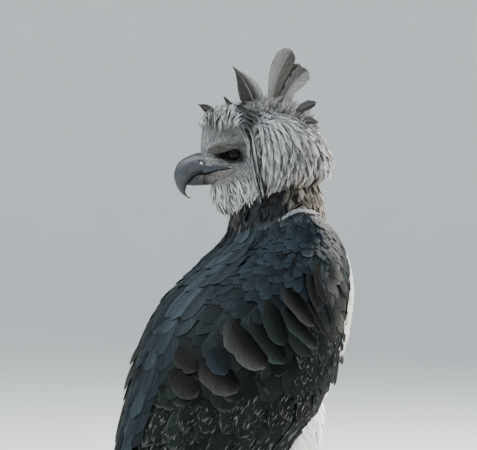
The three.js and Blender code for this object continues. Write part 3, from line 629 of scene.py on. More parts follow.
class SkinMap:
    # nearest places on the skin, with smooth normals, and places on its unwrap
    def __init__(self, piece):
        mesh = piece.data
        mesh.calc_loop_triangles()
        corners, loops, normals = (self.read(*what) for what in (
            (mesh.loop_triangles, "vertices", 3, int), (mesh.loop_triangles, "loops", 3, int),
            (mesh.vertices, "normal", 3, float)))
        self.points, self.corners, self.normals = meshPoints(mesh), corners, normals
        self.tree = BVHTree.FromPolygons(self.points.tolist(), corners.tolist(), all_triangles=True)
        if mesh.uv_layers:
            self.uvs = self.read(mesh.uv_layers[0].data, "uv", 2, float)[loops]

    @staticmethod
    def read(items, what, width, kind):
        values = np.empty(len(items) * width, kind)
        items.foreach_get(what, values)
        return values.reshape(-1, width)

    def nearest(self, points):
        hits = [self.tree.find_nearest(point) for point in points.tolist()]
        place = np.array([hit[0] for hit in hits])
        face = np.array([hit[2] for hit in hits])
        return place, face, self.weights(place, face)

    def weights(self, place, face):
        a, b, c = (self.points[self.corners[face, k]] for k in range(3))
        first, second, across = b - a, c - a, place - a
        aa, ab, bb = (first * first).sum(-1), (first * second).sum(-1), (second * second).sum(-1)
        pa, pb = (across * first).sum(-1), (across * second).sum(-1)
        area = np.maximum(aa * bb - ab * ab, 1e-12)
        v, w = (bb * pa - ab * pb) / area, (aa * pb - ab * pa) / area
        return np.clip(np.stack((1 - v - w, v, w), -1), 0, 1)

    def normalAt(self, face, weights):
        return unit((self.normals[self.corners[face]] * weights[..., None]).sum(-2))

    def unwrapPlace(self, points):
        _, face, weights = self.nearest(points)
        return (self.uvs[face] * weights[..., None]).sum(-2)

    def scatter(self, count):
        a, b, c = (self.points[self.corners[:, k]] for k in range(3))
        area = np.linalg.norm(np.cross(b - a, c - a), axis=-1)
        face = random.choice(len(area), count, p=area / area.sum())
        u, v = np.sqrt(random.random(count)), random.random(count)
        place = a[face] + ((b - a)[face] * (1 - v)[:, None] + (c - a)[face] * v[:, None]) * u[:, None]
        return place, unit(self.normals[self.corners[face]].sum(1))


def makeUnwrap(skin):
    # a coarse copy of the skin, unwrapped: it gives each feather its place in the bake
    copy = skin.copy()
    copy.data = skin.data.copy()
    bpy.context.collection.objects.link(copy)
    applyModifier(copy, "REMESH", mode="VOXEL", voxel_size=unwrapGrain)
    editMesh(copy, lambda: bpy.ops.uv.smart_project(angle_limit=math.radians(66), island_margin=0.004))
    unwrap = SkinMap(copy)
    bpy.data.objects.remove(copy)
    return unwrap


skinMap = SkinMap(skin)
unwrapMap = makeUnwrap(skin)
print("skin unwrapped:", len(unwrapMap.corners), "triangles")

# A coat piece: feathers from centre lines [feather, station, 3] with normals, each a thin closed vane
featherShapes = {
    "covert": [(0, 0.4), (0.18, 0.78), (0.5, 1), (0.75, 0.98), (0.9, 0.75), (0.97, 0.42), (1, 0.16)],
    "blade": [(0, 0.34), (0.12, 0.66), (0.45, 0.95), (0.75, 1), (0.9, 0.74), (0.97, 0.42), (1, 0.12)],
    "point": [(0, 0.4), (0.2, 0.85), (0.45, 1), (0.7, 0.72), (0.9, 0.3), (1, 0.06)],
    "lock": [(0, 0.5), (0.3, 0.9), (0.6, 1), (0.85, 0.6), (1, 0.08)],
    "leaf": [(0, 0.5), (0.22, 0.92), (0.4, 1), (0.6, 0.82), (0.8, 0.42), (0.92, 0.12), (1, 0.03)],
    "oar": [(0, 0.28), (0.3, 0.6), (0.6, 0.92), (0.82, 1), (0.94, 0.7), (1, 0.16)],
}
vaneRepeat = 61  # feathers share their seeds after so many
bakePatch = 0.003  # a feather's size on the unwrap
tipPower = 1.6  # how late a feather turns to its tip's colour
nickDepth = 0.72  # what a nick leaves of a feather's half width


def feathers(name, line, normal, width, paint, tipPaint, look, shape="covert", across=3, camber=0.16, thick=0.5,
             tilt=0.0, fray=0.0, twoTone=0.0, nicks=0.0, sharp=1.0, split=0.0, curve=1.0):
    count, stations = line.shape[:2]
    width, tilt, twoTone, split = (np.asarray(value) * np.ones(count) for value in (width, tilt, twoTone, split))
    shares = np.linspace(0, 1, stations)
    along = unit(np.gradient(line, axis=1))
    aside = unit(np.cross(normal, along))
    normal = unit(np.cross(along, aside))[:, :, None]
    offsets = np.linspace(-1, 1, across)
    half = width[:, None] / 2 * curveThrough(featherShapes[shape])(shares)
    half = half[:, :, None] * (1 + fray * (random.random((count, stations, across)) - 0.5))
    if nicks:
        cut = random.random((count, stations, 2)) < nicks
        half[:, 2:-2, [0, -1]] *= np.where(cut[:, 2:-2], nickDepth, 1.0)
    out = half * offsets
    rise = -camber * half * offsets ** 2 + tilt[:, None, None] * out
    face = line[:, :, None] + aside[:, :, None] * out[..., None] + normal * rise[..., None]
    inner = np.zeros((stations, across), bool)
    inner[1:-1, 1:-1] = True
    thickness = normal * (thick * inner / 2)[..., None]
    points = np.concatenate(((face + thickness).reshape(count, -1, 3), (face - thickness)[:, inner]), 1)
    size = points.shape[1]

    index = np.arange(stations * across).reshape(stations, across)
    under = index.copy()
    under[inner] = stations * across + np.arange(inner.sum())
    quads = [np.stack((grid[:-1, :-1], grid[:-1, 1:], grid[1:, 1:], grid[1:, :-1]), -1).reshape(-1, 4)
             for grid in (index, under)]
    quads = np.concatenate((quads[0], quads[1][:, ::-1]))
    faces = (quads[None] + size * np.arange(count)[:, None, None]).reshape(-1, 4)

    mesh = bpy.data.meshes.new(name)
    mesh.vertices.add(count * size)
    mesh.vertices.foreach_set("co", toMetres(points).ravel())
    mesh.loops.add(faces.size)
    mesh.loops.foreach_set("vertex_index", faces.ravel().astype(np.int32))
    mesh.polygons.add(len(faces))
    mesh.polygons.foreach_set("loop_start", np.arange(0, faces.size, 4, dtype=np.int32))
    mesh.update(calc_edges=True)
    mesh.shade_smooth()

    ownUv = np.stack(np.meshgrid(0.04 + 0.92 * (offsets + 1) / 2, shares), -1)
    ownUv = np.concatenate((ownUv.reshape(-1, 2), ownUv[inner]))
    corner, which = faces.ravel() % size, faces.ravel() // size
    own = ownUv[corner] + np.stack((which % vaneRepeat, 0 * which), -1)
    baked = unwrapMap.unwrapPlace(line[:, 0])[which] + (ownUv[corner] - 0.5) * bakePatch
    for layerName, values in (("vane", own), ("OFBake", baked)):
        layer = mesh.uv_layers.new(name=layerName)
        layer.data.foreach_set("uv", values.astype(np.float32).ravel())
    mesh.uv_layers["OFBake"].active = True
    mesh.uv_layers["OFBake"].active_render = True

    blend = (ownUv[:, 1] ** tipPower)[None, :, None]
    colours = paint[:, None] * (1 - blend) + tipPaint[:, None] * blend
    beside = 2 * ownUv[:, 0] - 1 - split[:, None]
    colours[..., :3] *= ((1 + twoTone[:, None] * np.clip(sharp * beside, -1, 1)) ** curve)[..., None]
    setPaint(mesh, colours)

    border = np.tile(np.concatenate((~inner.ravel(), np.zeros(inner.sum(), bool))), count)
    edges = np.empty(len(mesh.edges) * 2, np.int32)
    mesh.edges.foreach_get("vertices", edges)
    sharpEdges = mesh.attributes.new("sharp_edge", "BOOLEAN", "EDGE")
    sharpEdges.data.foreach_set("value", border[edges.reshape(-1, 2)].all(1))
    print(name, count, "feathers,", len(faces) * 2, "triangles")
    return addPiece(name, mesh, featherLooks[look])


def normalOn(surface, first, second):
    # the outward normal of a surface given in its own two coordinates
    here = surface(first, second, 0.0)
    step = 0.5 / np.maximum(np.linalg.norm(surface(first, second + 0.01, 0.0) - here, axis=-1), 1e-6) * 0.01
    normal = np.cross(surface(first + 0.5, second, 0.0) - here, surface(first, second + step, 0.0) - here)
    outward = surface(first, second, 1.0) - here
    return unit(normal * np.sign((normal * outward).sum(-1, keepdims=True)))


def walkSurface(surface, starts, drift, lengths, lift, rise, stations):
    # centre lines down a surface from (a, b) starts, with a drift in b for each step of a
    count = len(starts)
    shares = np.linspace(0, 1, stations)
    at = starts.astype(float)
    heading = np.stack((-np.ones(count), drift * np.ones(count)), -1)
    line, normal = np.empty((2, count, stations, 3))
    strides, probe = 3, 0.4
    for k, share in enumerate(shares):
        if k:
            step = lengths * (share - shares[k - 1]) / strides
            for _ in range(strides):
                ahead = surface(*(at + heading * probe).T, 0.0)
                speed = np.linalg.norm(ahead - surface(*at.T, 0.0), axis=-1) / probe
                at = at + heading * (step / np.maximum(speed, 1e-6))[:, None]
        normal[:, k] = normalOn(surface, *at.T)
        line[:, k] = surface(*at.T, 0.0) + normal[:, k] * ((lift + rise * share) * np.ones(count))[:, None]
    return line, normal


def walkSkin(starts, flow, lengths, lift, rise, stations, turn):
    # centre lines over the skin from places on it, along a flow given at any place
    turn = turn[:, None]
    shares = np.linspace(0, 1, stations)
    line, normal = np.empty((2, len(starts), stations, 3))
    at = starts
    for k, share in enumerate(shares):
        place, face, weights = skinMap.nearest(at)
        up = skinMap.normalAt(face, weights)
        line[:, k] = place + up * (lift + rise * share)[:, None]
        normal[:, k] = up
        if k + 1 < stations:
            way = flow(place)
            way = unit(way - (way * up).sum(-1, keepdims=True) * up)
            way = way * np.cos(turn) + np.cross(up, way) * np.sin(turn)
            at = place + way * (lengths * (shares[k + 1] - share))[:, None]
    return line, normal


def thinned(points, spacing):
    # keeps the points that lie no nearer to an earlier one than the spacing
    kept, table = [], {}
    keys = np.floor(points / spacing).astype(int)
    near = [(x, y, z) for x in (-1, 0, 1) for y in (-1, 0, 1) for z in (-1, 0, 1)]
    for i, (a, b, c) in enumerate(keys.tolist()):
        others = [j for x, y, z in near for j in table.get((a + x, b + y, c + z), ())]
        if others:
            away = points[others] - points[i]
            if (away * away).sum(-1).min() < spacing ** 2:
                continue
        table.setdefault((a, b, c), []).append(i)
        kept.append(i)
    return points[kept]


def shaded(colour, count, spread=0.12, rim=0.0, rimSpread=0.0):
    # a colour for each feather, with its rim's strength beside it
    tone = 1 + scattered(count, spread)[:, None]
    rims = np.clip(rim + scattered(count, rimSpread), 0, 1)
    return np.concatenate((np.clip(np.asarray(colour) * tone, 0, 1), rims[:, None]), 1)


def brighter(paint, *factors):
    return paint * np.array((factors * 3)[:3] + (1,))


def blended(colour, other, share):
    return colour * (1 - share)[:, None] + np.array(other) * share[:, None]


def tuned(colour, tones, places):
    # a colour for each place, turned towards other colours about the places of a table
    colour = np.array(colour, float) * np.ones((len(places), 1))
    for first, second, reachFirst, reachSecond, other, strength in tones:
        away = ((places[:, 0] - first) / reachFirst) ** 2 + ((places[:, 1] - second) / reachSecond) ** 2
        colour = blended(colour, other, strength * np.exp(-away))
    return colour


# Wing coverts: rows down the wing from the shoulder line, small at the shoulder and larger below
# slate's "edge" is the pale of a painted rim highlight along the shoulder's top
slate = {"top": (0.0095, 0.0135, 0.0168), "low": (0.0068, 0.0096, 0.0084), "edge": (0.2, 0.21, 0.22),
         "umber": (0.0092, 0.0088, 0.0083), "ash": (0.036, 0.035, 0.033), "pale": (0.0115, 0.0112, 0.0106)}
covertRows = {"top": 669, "bottom": 468, "pitch": (4.4, 16), "width": (7.5, 31), "overlap": 3.1, "back": 171,
              "ease": 1.15, "apart": 0.66, "loose": 0.8}
coatFront = curveThrough([(440, 0.02), (470, 0.07), (500, 0.11), (600, 0.115), (640, 0.08), (660, 0.0),
                          (687, -0.05)])
shoulderTop = curveThrough([(0, 640), (48, 645), (54, 651), (72, 665), (90, 669), (106, 669), (121, 664),
                            (135, 656), (150, 651), (171, 645), (200, 637)])
# Tones of the wing: height, share, reach in each, colour, strength. The pale and ash patches on the front of the
# shoulder are painted sunlight, the blue patch on the back half a painted sheen, and the near black past the back edge
# painted shade under the mantle
wingTonesAndPaintedLight = [
    (598, 0.31, 27, 0.05, (0.15, 0.146, 0.14), 0.9), (538, 0.22, 24, 0.045, (0.11, 0.103, 0.093), 0.85),
    (560, 0.27, 45, 0.12, slate["pale"], 0.7), (600, 0.34, 34, 0.08, slate["ash"], 0.6),
    (490, 0.45, 28, 0.16, (0.0025, 0.0032, 0.0032), 0.9), (440, 0.15, 45, 0.16, (0.003, 0.003, 0.003), 0.8),
    (610, 0.8, 60, 0.35, (0.012, 0.018, 0.025), 0.6), (500, 1.06, 200, 0.04, (0.002, 0.002, 0.002), 0.9)]


def covertPlaces(rows):
    starts, widths, lengths = [], [], []
    full = rows["top"] - rows["bottom"]
    down, row = 0.0, 0
    while down < 1:
        nominal = rows["top"] - full * down
        pitch, width = (low + (high - low) * down ** rows["ease"] for low, high in (rows["pitch"], rows["width"]))
        front = float(coatFront(nominal))
        last = min(1.5, float((rows["back"] - frontEdge(nominal)) / (backEdge(nominal) - frontEdge(nominal))))
        samples = np.linspace(front, last, 30)
        arc = np.linalg.norm(np.diff(onWing(1)(nominal + 0 * samples, samples), axis=0), axis=-1).sum()
        count = int(arc / (width * rows["apart"]))
        step = np.arange(count) + 0.5 * (row % 2) + 0.5 * varied(count, -0.5, 1)
        share = front + (last - front) * step / count
        top = shoulderTop(wingAngle(nominal, share))
        height = rows["bottom"] + (nominal - rows["bottom"]) * (top - rows["bottom"]) / full
        starts.append(np.stack((height + pitch * rows["loose"] * varied(count, -0.5, 1), share), -1))
        widths.append(width * varied(count, 0.85, 0.35))
        lengths.append(pitch * rows["overlap"] * varied(count, 0.85, 0.3) + 4)
        down += pitch / full
        row += 1
    return np.vstack(starts), np.concatenate(widths), np.concatenate(lengths)


def wingDrift(height, share):
    # forward on the wing's front half and back behind
    forward = smooth(0.75, 0.3, share) * smooth(420, 540, height) * smooth(668, 600, height)
    back = smooth(0.6, 1.0, share) * smooth(470, 560, height)
    return -0.0042 * forward + 0.001 * back + scattered(len(height), 0.0006)


def makeCoverts(side, name):
    starts, widths, lengths = covertPlaces(covertRows)
    count = len(starts)
    lift = varied(count, -4.8, 1.6)
    line, normal = walkSurface(onWing(side), starts, wingDrift(*starts.T), lengths, lift, 0.055 * lengths + 1.3, 6)
    colour = blended(np.array(slate["top"]), slate["low"], smooth(640, 490, starts[:, 0]))
    colour = tuned(colour, wingTonesAndPaintedLight, starts)
    # Coverts just under the shoulder's top are blended towards that pale: a painted rim highlight on the shoulder's
    # contour
    belowTop = shoulderTop(wingAngle(*starts.T)) - starts[:, 0]
    paint = shaded(blended(colour, slate["edge"], 0.12 * smooth(4.5, 0, belowTop)), count, 0.27)
    paint[:, 3] = np.where(random.random(count) < 0.1, varied(count, 0.2, 0.35), 0.03)
    tilt = side * (0.02 + scattered(count, 0.03))
    # Each covert is painted darker at its root, as shade under the row that overlaps it, and lighter at its tip
    feathers("coverts_" + name, line, normal, widths, brighter(paint, 0.6), brighter(paint, 1.55), "slate",
             across=5, camber=0.07, thick=0.35, tilt=tilt, fray=0.14)


# Fine pale down along the shoulder's upper edge, standing in for a rim highlight: painted light on its contour
def makeShoulderRimLight(side, name, count=700):
    angle = 102 + 36 * (random.random(count) + random.random(count) - 1)
    height = shoulderTop(angle) - 2.5 + varied(count, 0, 1.5)
    share = (angle - frontEdge(height)) / (backEdge(height) - frontEdge(height))
    lengths = varied(count, 3, 2.5)
    line, normal = walkSurface(onWing(side), np.stack((height, share), -1), scattered(count, 0.004), lengths,
                               -0.6, 1.0, 4)
    paint = shaded((0.22, 0.23, 0.24), count, 0.4)
    feathers("shoulderRimLight_" + name, line, normal, 0.7, paint, paint, "disc", "lock")


# Larger single feathers of the wing: height and share at root, middle and tip, width, colour, rim, two tones
showFeathers = [
    ((492, 1.0), (472, 0.93), (452, 0.82), 28, "umber", 0.15, 0.5),
    ((470, 1.0), (444, 0.91), (420, 0.76), 36, "umber", 0.3, 0.65),
    ((488, 0.89), (456, 0.76), (426, 0.58), 44, "umber", 0.2, 0.95),
    ((500, 0.83), (477, 0.77), (448, 0.67), 32, "top", 0.1, 0.3),
    ((532, 0.79), (494, 0.67), (458, 0.5), 46, "pale", 0.12, 0.95),
    ((534, 0.7), (500, 0.58), (462, 0.42), 36, "low", 0.15, 0.8),
    ((552, 0.64), (520, 0.56), (486, 0.46), 30, "low", 0.1, 0.5),
    ((532, 0.52), (502, 0.42), (470, 0.3), 34, "low", 0.1, 0.5),
    ((600, 0.46), (572, 0.42), (538, 0.3), 13, "umber", 0.2, 0.4),
    ((584, 0.5), (560, 0.43), (532, 0.35), 15, "umber", 0.15, 0.4),
    ((566, 0.61), (541, 0.48), (510, 0.34), 26, "umber", 0.15, 0.9),
    ((540, 0.54), (512, 0.44), (480, 0.27), 24, "low", 0.25, 0.8),
    ((546, 0.42), (520, 0.33), (498, 0.26), 11, "umber", 0.45, 0.5),
    ((562, 0.36), (540, 0.29), (508, 0.2), 9, "low", 0.5, 0.3)]


def makeShowFeathers(side, name):
    first, middle, last, width, colour, rim, tones = zip(*showFeathers)
    shares = np.linspace(0, 1, 14)
    ways = ((1 - shares) * (1 - 2 * shares), 4 * shares * (1 - shares), shares * (2 * shares - 1))
    height, share = sum(np.array(place).T[..., None] * way for place, way in zip((first, middle, last), ways))
    lift = -4 + 8 * shares ** 0.8 + 0.09 * np.arange(len(width))[:, None]
    normal = normalOn(onWing(side), height, share)
    line = onWing(side)(height, share) + normal * lift[..., None]
    paint = shaded([slate[key] for key in colour], len(width), 0.06)
    paint[:, 3] = rim
    feathers("scapulars_" + name, line, normal, width, brighter(paint, 0.45), paint, "slate", across=13, camber=0.12,
             tilt=side * 0.03, fray=0.1, twoTone=side * np.array(tones), nicks=0.06, curve=3.2)


# Mottled coverts about the wrist, edged with pale arcs
wristRows = {"heights": (512, 424), "pitch": 11, "shares": (0.03, 0.4), "apart": 0.055, "length": 40, "width": 19}


def makeWristCoverts(side, name):
    look = wristRows
    heights = np.arange(*look["heights"], -look["pitch"])
    shares = np.arange(*look["shares"], look["apart"])
    starts = np.array([(height, share + 0.03 * (row % 2)) for row, height in enumerate(heights) for share in shares])
    starts = starts[starts[:, 1] < np.interp(starts[:, 0], (424, 450, 512), (0.2, 0.32, 0.38))]
    starts = starts + random.standard_normal(starts.shape) * (2.5, 0.012)
    count = len(starts)
    drift = -0.0006 + scattered(count, 0.0005)
    lift = -4.5 - 1.5 * (512 - starts[:, 0]) / 88 + varied(count, 0, 1.2)
    lengths = look["length"] * varied(count, 0.8, 0.4)
    line, normal = walkSurface(onWing(side), starts, drift, lengths, lift, 5.0, 9)
    paint = shaded(slate["low"], count, 0.2)
    paint[:, 3] = np.where(random.random(count) < 0.3, 0.55, 0.12)
    feathers("wristCoverts_" + name, line, normal, look["width"] * varied(count, 0.8, 0.4), paint, paint, "wrist",
             across=7, camber=0.12, thick=0.45, tilt=side * 0.03, fray=0.08, twoTone=side * 0.3)


# Long feathers of the wing: rows of root height, count, shares, length, width, lift at root and rise
longRows = [
    {"name": "greaterCoverts", "height": 502, "count": 11, "shares": (0.13, 1.04), "length": 92, "width": 45,
     "lift": -6.0, "rise": 0.055, "look": "slate", "rim": 0.45},
    {"name": "lowerCoverts", "height": 470, "count": 12, "shares": (0.08, 1.04), "length": 118, "width": 44,
     "lift": -7.5, "rise": 0.04, "look": "mottled", "rim": 0.4},
    {"name": "secondaries", "height": 452, "count": 13, "shares": (0.04, 1.06), "length": 205, "width": 44,
     "lift": -9.0, "rise": 0.025, "look": "mottled", "rim": 0.35},
    {"name": "primaries", "height": 352, "count": 8, "shares": (0.2, 0.85), "length": 190, "width": 32,
     "lift": -12.0, "rise": 0.01, "look": "mottled", "rim": 0.1},
]


def makeLongRow(side, name, row):
    count = row["count"]
    shares = np.linspace(*row["shares"], count) + scattered(count, 0.02)
    starts = np.stack((row["height"] - 16 * shares + varied(count, 0, 10), shares), -1)
    lengths = row["length"] * (1 + 0.12 * varied(count, -0.5, 1))
    line, normal = walkSurface(onWing(side), starts, scattered(count, 0.0004), lengths, row["lift"],
                               row["rise"] * lengths, 18)
    paint = shaded(tuned(slate["low"], wingTonesAndPaintedLight, starts - (50, 0)), count, 0.2)
    paint[:, 3] = np.where(random.random(count) < 0.3, row["rim"], 0.06)
    feathers(row["name"] + "_" + name, line, normal, row["width"], paint, brighter(paint, 1.15), row["look"], "blade",
             across=9, camber=0.08, thick=0.7, tilt=side * 0.05, fray=0.04, twoTone=side * 0.3)


# The mantle: broad smooth feathers that stream down the middle of the back
mantleSpan = curveThrough([(660, 10), (640, 13), (600, 15), (560, 15), (520, 12), (480, 10), (440, 8), (400, 8)])
mantleRows = {"top": 654, "bottom": 400, "pitch": 23, "width": 30, "firstWidth": 17, "length": 78,
              "apart": 0.5, "loose": 0.7}


def makeMantle():
    rows = mantleRows
    starts, widths = [], []
    height, row = rows["top"], 0
    while height > rows["bottom"]:
        span = float(mantleSpan(height))
        grown = smooth(rows["top"], 560, height)
        width = rows["firstWidth"] + (rows["width"] - rows["firstWidth"]) * grown
        arc = math.radians(2 * span) * float(coatWidth(height)) * 1.05
        count = max(3, int(arc / (width * rows["apart"])) + row % 2)
        angles = 180 + span * (np.linspace(-1, 1, count) + 0.2 * varied(count, -0.5, 1))
        fall = 0.05 * (angles - 180) ** 2 * smooth(600, 660, height)
        starts.append(np.stack((height - fall + rows["pitch"] * rows["loose"] * varied(count, -0.5, 1), angles), -1))
        widths.append(width * varied(count, 0.85, 0.3))
        height -= rows["pitch"] * (0.55 + 0.45 * grown)
        row += 1
    starts, widths = np.vstack(starts), np.concatenate(widths)
    count = len(starts)
    lengths = rows["length"] * (widths / rows["width"]) * varied(count, 0.85, 0.3)
    lift = varied(count, -3.5, 1.6)
    line, normal = walkSurface(onCoat, starts, 0, lengths, lift, 0.03 * lengths + 1.5, 12)
    outer = np.abs(starts[:, 1] - 180) / mantleSpan(starts[:, 0])
    # The mantle's colour is lighter in its top rows, a painted sheen, and darker towards the sides of the stream,
    # painted shade where it meets the wings
    colour = np.array((0.02, 0.027, 0.032)) * (np.linspace(1.3, 0.95, count) * (1 - 0.5 * outer))[:, None]
    paint = shaded(colour, count, 0.22, 0.05, 0.06)
    left = np.where(starts[:, 1] > 180, -1, 1)
    feathers("mantle", line, normal, widths, paint, brighter(paint, 1.15), "slate", across=7, tilt=0.04 * left,
             fray=0.05, twoTone=0.3 * left)


# White breast feathers that lap over the front edge of each wing
breastEdge = {"count": 420, "heights": (484, 606), "reach": 0.055, "length": 22, "width": 4.5,
              "colour": (0.6, 0.58, 0.54)}


def makeBreastEdge(side, name):
    look, count = breastEdge, breastEdge["count"]
    height = np.interp(random.random(count), (0, 1), look["heights"])
    bend = np.interp(height, (478, 500, 575, 606), (0.2, 1, 1, 0.15))
    share = -0.01 + (look["reach"] * bend + 0.01) * random.random(count)
    line, normal = walkSurface(onWing(side), np.stack((height, share), -1), scattered(count, 0.0008),
                               look["length"] * varied(count, 0.7, 0.6), -2.0, 2.2, 6)
    paint = shaded(look["colour"], count, 0.22)
    feathers("breastEdge_" + name, line, normal, look["width"] * varied(count, 0.6, 0.8), paint, paint, "white",
             "lock", camber=0.2, thick=0.3, fray=0.2)


for side, name in sides:
    makeCoverts(side, name)
    makeBreastEdge(side, name)
    makeShowFeathers(side, name)
    makeWristCoverts(side, name)
    for row in longRows:
        makeLongRow(side, name, row)
    makeShoulderRimLight(side, name)
makeMantle()
print("wings and mantle made")

# The lie of the head's feathers: forward, up and heading (0 ahead, 90 up, 180 back)
headFlow = np.array([
    (86, 30, 104), (78, 50, 112), (60, 56, 122), (46, 58, 132), (60, 30, 112), (40, 34, 120), (60, 16, 128),
    (36, 18, 150), (20, 54, 232), (0, 64, 226), (26, 6, 200), (22, -12, 222), (45, -20, 190), (66, -14, 178),
    (60, -40, 236), (78, -44, 250), (48, -62, 252), (26, -72, 250), (34, -40, 232), (4, -64, 266), (14, -36, 256),
    (15, 44, 240), (5, 22, 250), (-2, -6, 264), (-1, -34, 272), (0, -55, 275), (-9, 57, 236), (-25, 36, 242),
    (-33, 8, 257), (-32, -20, 273), (-26, -48, 283), (-36, 50, 230), (-54, 29, 238), (-64, 1, 252), (-61, -20, 266),
    (-47, -37, 282), (-80, -5, 236), (-78, -30, 250)], float)
# Edges and lines of the head by forward or up
ruffEdge = curveThrough([(-90, -23), (-79, -23), (-43, -31), (-29, -44), (-1, -59), (13, -67), (36, -79),
                         (60, -84), (80, -86)])
discCurve = curveThrough([(60, 52), (48, 42.6), (31, 31.4), (15, 23), (-4, 17.4), (-25, 13.2), (-41, 9.7),
                          (-69, 4.8), (-90, 2)])
mouthLine = [(90, -33), (80, -32.3), (66, -28), (47, -25)]
gapeTop = curveThrough([(36, -26), (47, -22.6), (56, -21.6), (66, -20.4), (76, -19), (90, -18.5)])
gapeLow = curveThrough([(36, -27), (42, -29.5), (50, -35.5), (60, -40.5), (68, -43), (76, -46.5), (90, -48)])
foldLead = curveThrough([(-70, 2), (-55, 0.6), (-34, -0.8), (-6, -2.2), (8, 1), (22, 5), (44, 15), (60, 24)])
foldSpread = curveThrough([(-60, 0.72), (-20, 0.88), (10, 1), (35, 1), (60, 0.82)])
foldPitch = 9.5


def flowOnHead(points):
    forward, up = headPlace(points)[::2]
    weight = ((forward[:, None] - headFlow[:, 0]) ** 2 + (up[:, None] - headFlow[:, 1]) ** 2 + 30) ** -2
    angle = np.radians(headFlow[:, 2])
    ahead, rise = (weight * np.cos(angle)).sum(1), (weight * np.sin(angle)).sum(1)
    return unit(ahead[:, None] * headForward + rise[:, None] * headUp)


def flowDown(points):
    return stacked(-0.25, 0.12 * np.sign(points[:, 1]), -1.0)


def flowOnTrunk(points):
    # down the body, back along its belly and out over the thighs
    back = smooth(470, 320, points[:, 2]) * smooth(-20, -60, points[:, 0])
    return stacked(-0.12 - 0.9 * back, 0.18 * np.sign(points[:, 1]), -1 + 0.35 * back)


def flowToTail(points):
    return np.broadcast_to(tailAlong + (-0.1, 0, -0.25), points.shape)


def aroundBody(points):
    height = np.clip(points[:, 2], 300, 668)
    return np.degrees(np.arctan2(np.abs(points[:, 1]) / coatWidth(height),
                                 (points[:, 0] - coatMiddle(height)) / coatDepth(height)))


# The collar's lower edge by the angle round from the breast
collarEdge = curveThrough([(0, 592), (24, 596), (38, 616), (48, 640), (72, 664), (106, 668), (135, 655),
                           (171, 644), (200, 636)])


def tractsOf(points, normals):
    forward, aside, up = headPlace(points)
    x, y, high = points.T
    angle = aroundBody(points)
    wobble = 6 * np.sin(x * 0.21 + y * 0.13) + 4 * np.sin(y * 0.41)
    head = (up > ruffEdge(forward) + 9) & (high > 640) & (np.abs(aside) < 75) & (forward > -95)
    neck = ~head & (high > collarEdge(angle) + wobble * (angle < 45)) & (high < 742)
    onLeg = inEllipse(x, np.abs(y), (thighAhead(high), footSpread), (thighDeep(high) + 2, thighWide(high) + 2))
    thigh = ~head & (high < 342 + wobble) & onLeg
    underTail = (normals @ tailUp > 0.15) & (x < -40) & (high < 345) & ~thigh
    front = (angle < frontEdge(high) + 10) & (x > -60)
    belly = ~(head | neck | thigh) & (front | underTail | (onLeg & (high < 400)))
    rump = ~(head | neck | thigh | belly) & (high < 480)
    face = head & (forward > discCurve(up))
    return {"head": head, "face": face, "ruff": head & ~face, "neck": neck, "thigh": thigh, "belly": belly,
            "rump": rump}


# Ash grey, duller on brow and cheek, near black before and about the eye, where dark skin is deepened by painted
# shadow under the brow:
# forward, up, reach in each, colour, strength
headTonesAndBrowShadow = [
    (74, 46, 22, 26, (0.125, 0.123, 0.118), 0.85), (46, 20, 24, 9, (0.085, 0.084, 0.077), 0.85),
    (44, 11, 22, 4, (0.1, 0.097, 0.089), 0.75), (64, -38, 22, 6, (0.13, 0.118, 0.11), 0.8),
    (26, -20, 11, 24, (0.17, 0.169, 0.17), 0.9), (54, -20, 20, 5, (0.125, 0.123, 0.11), 0.8),
    (54, -6, 14, 9.5, (0.005, 0.0046, 0.0042), 0.99), (42, -4, 12.5, 10, (0.006, 0.0056, 0.0052), 0.99),
    (68, -4, 9, 4, (0.03, 0.029, 0.027), 0.8), (36, -40, 20, 9, (0.15, 0.142, 0.135), 0.6),
    (34, -62, 28, 18, (0.19, 0.186, 0.18), 0.7), (-30, 30, 26, 30, (0.3, 0.295, 0.29), 0.5),
    (-72, -10, 18, 40, (0.36, 0.355, 0.35), 0.6), (20, 58, 20, 10, (0.08, 0.078, 0.076), 0.8),
    (34, 50, 9, 12, (0.03, 0.03, 0.03), 0.85)]


def headColour(points):
    forward, up = headPlace(points)[::2]
    colour = tuned((0.225, 0.22, 0.217), headTonesAndBrowShadow, np.stack((forward, up), -1))
    # The socket about the eye is painted near black: dark skin, deepened as painted shadow under the brow's ledge
    socket = smooth(1.12, 0.88, np.hypot((forward - 49 - 0.25 * up) / 19, (up + 6) / 11.5))
    # The furrow behind the disc's edge is painted dark: painted shade in the groove there
    furrow = np.exp(-((forward - discCurve(up) + 10) / 4) ** 4)
    # Dark along the mouth line: painted shade in the slit of the mouth
    mouth = np.exp(-(distanceToLine(forward, up, mouthLine) / 1.8) ** 2)
    for strength, share in ((0.96, socket), (0.95, furrow), (0.9, mouth)):
        colour = colour * (1 - strength * share)[:, None]
    return colour


def skinColour(points, normals):
    tracts = tractsOf(points, normals)
    head = tracts["head"]
    colour = np.array((0.014, 0.015, 0.018)) * np.ones((len(points), 1))
    colour[tracts["neck"]] = (0.018, 0.017, 0.018)
    colour[tracts["belly"] | tracts["thigh"]] = (0.5, 0.47, 0.43)
    # Skin under the ruff is painted far darker than its feathers: painted shade in the gaps between them
    colour[head] = headColour(points[head]) * np.where(tracts["ruff"][head], 0.15, 0.55)[:, None]
    return colour


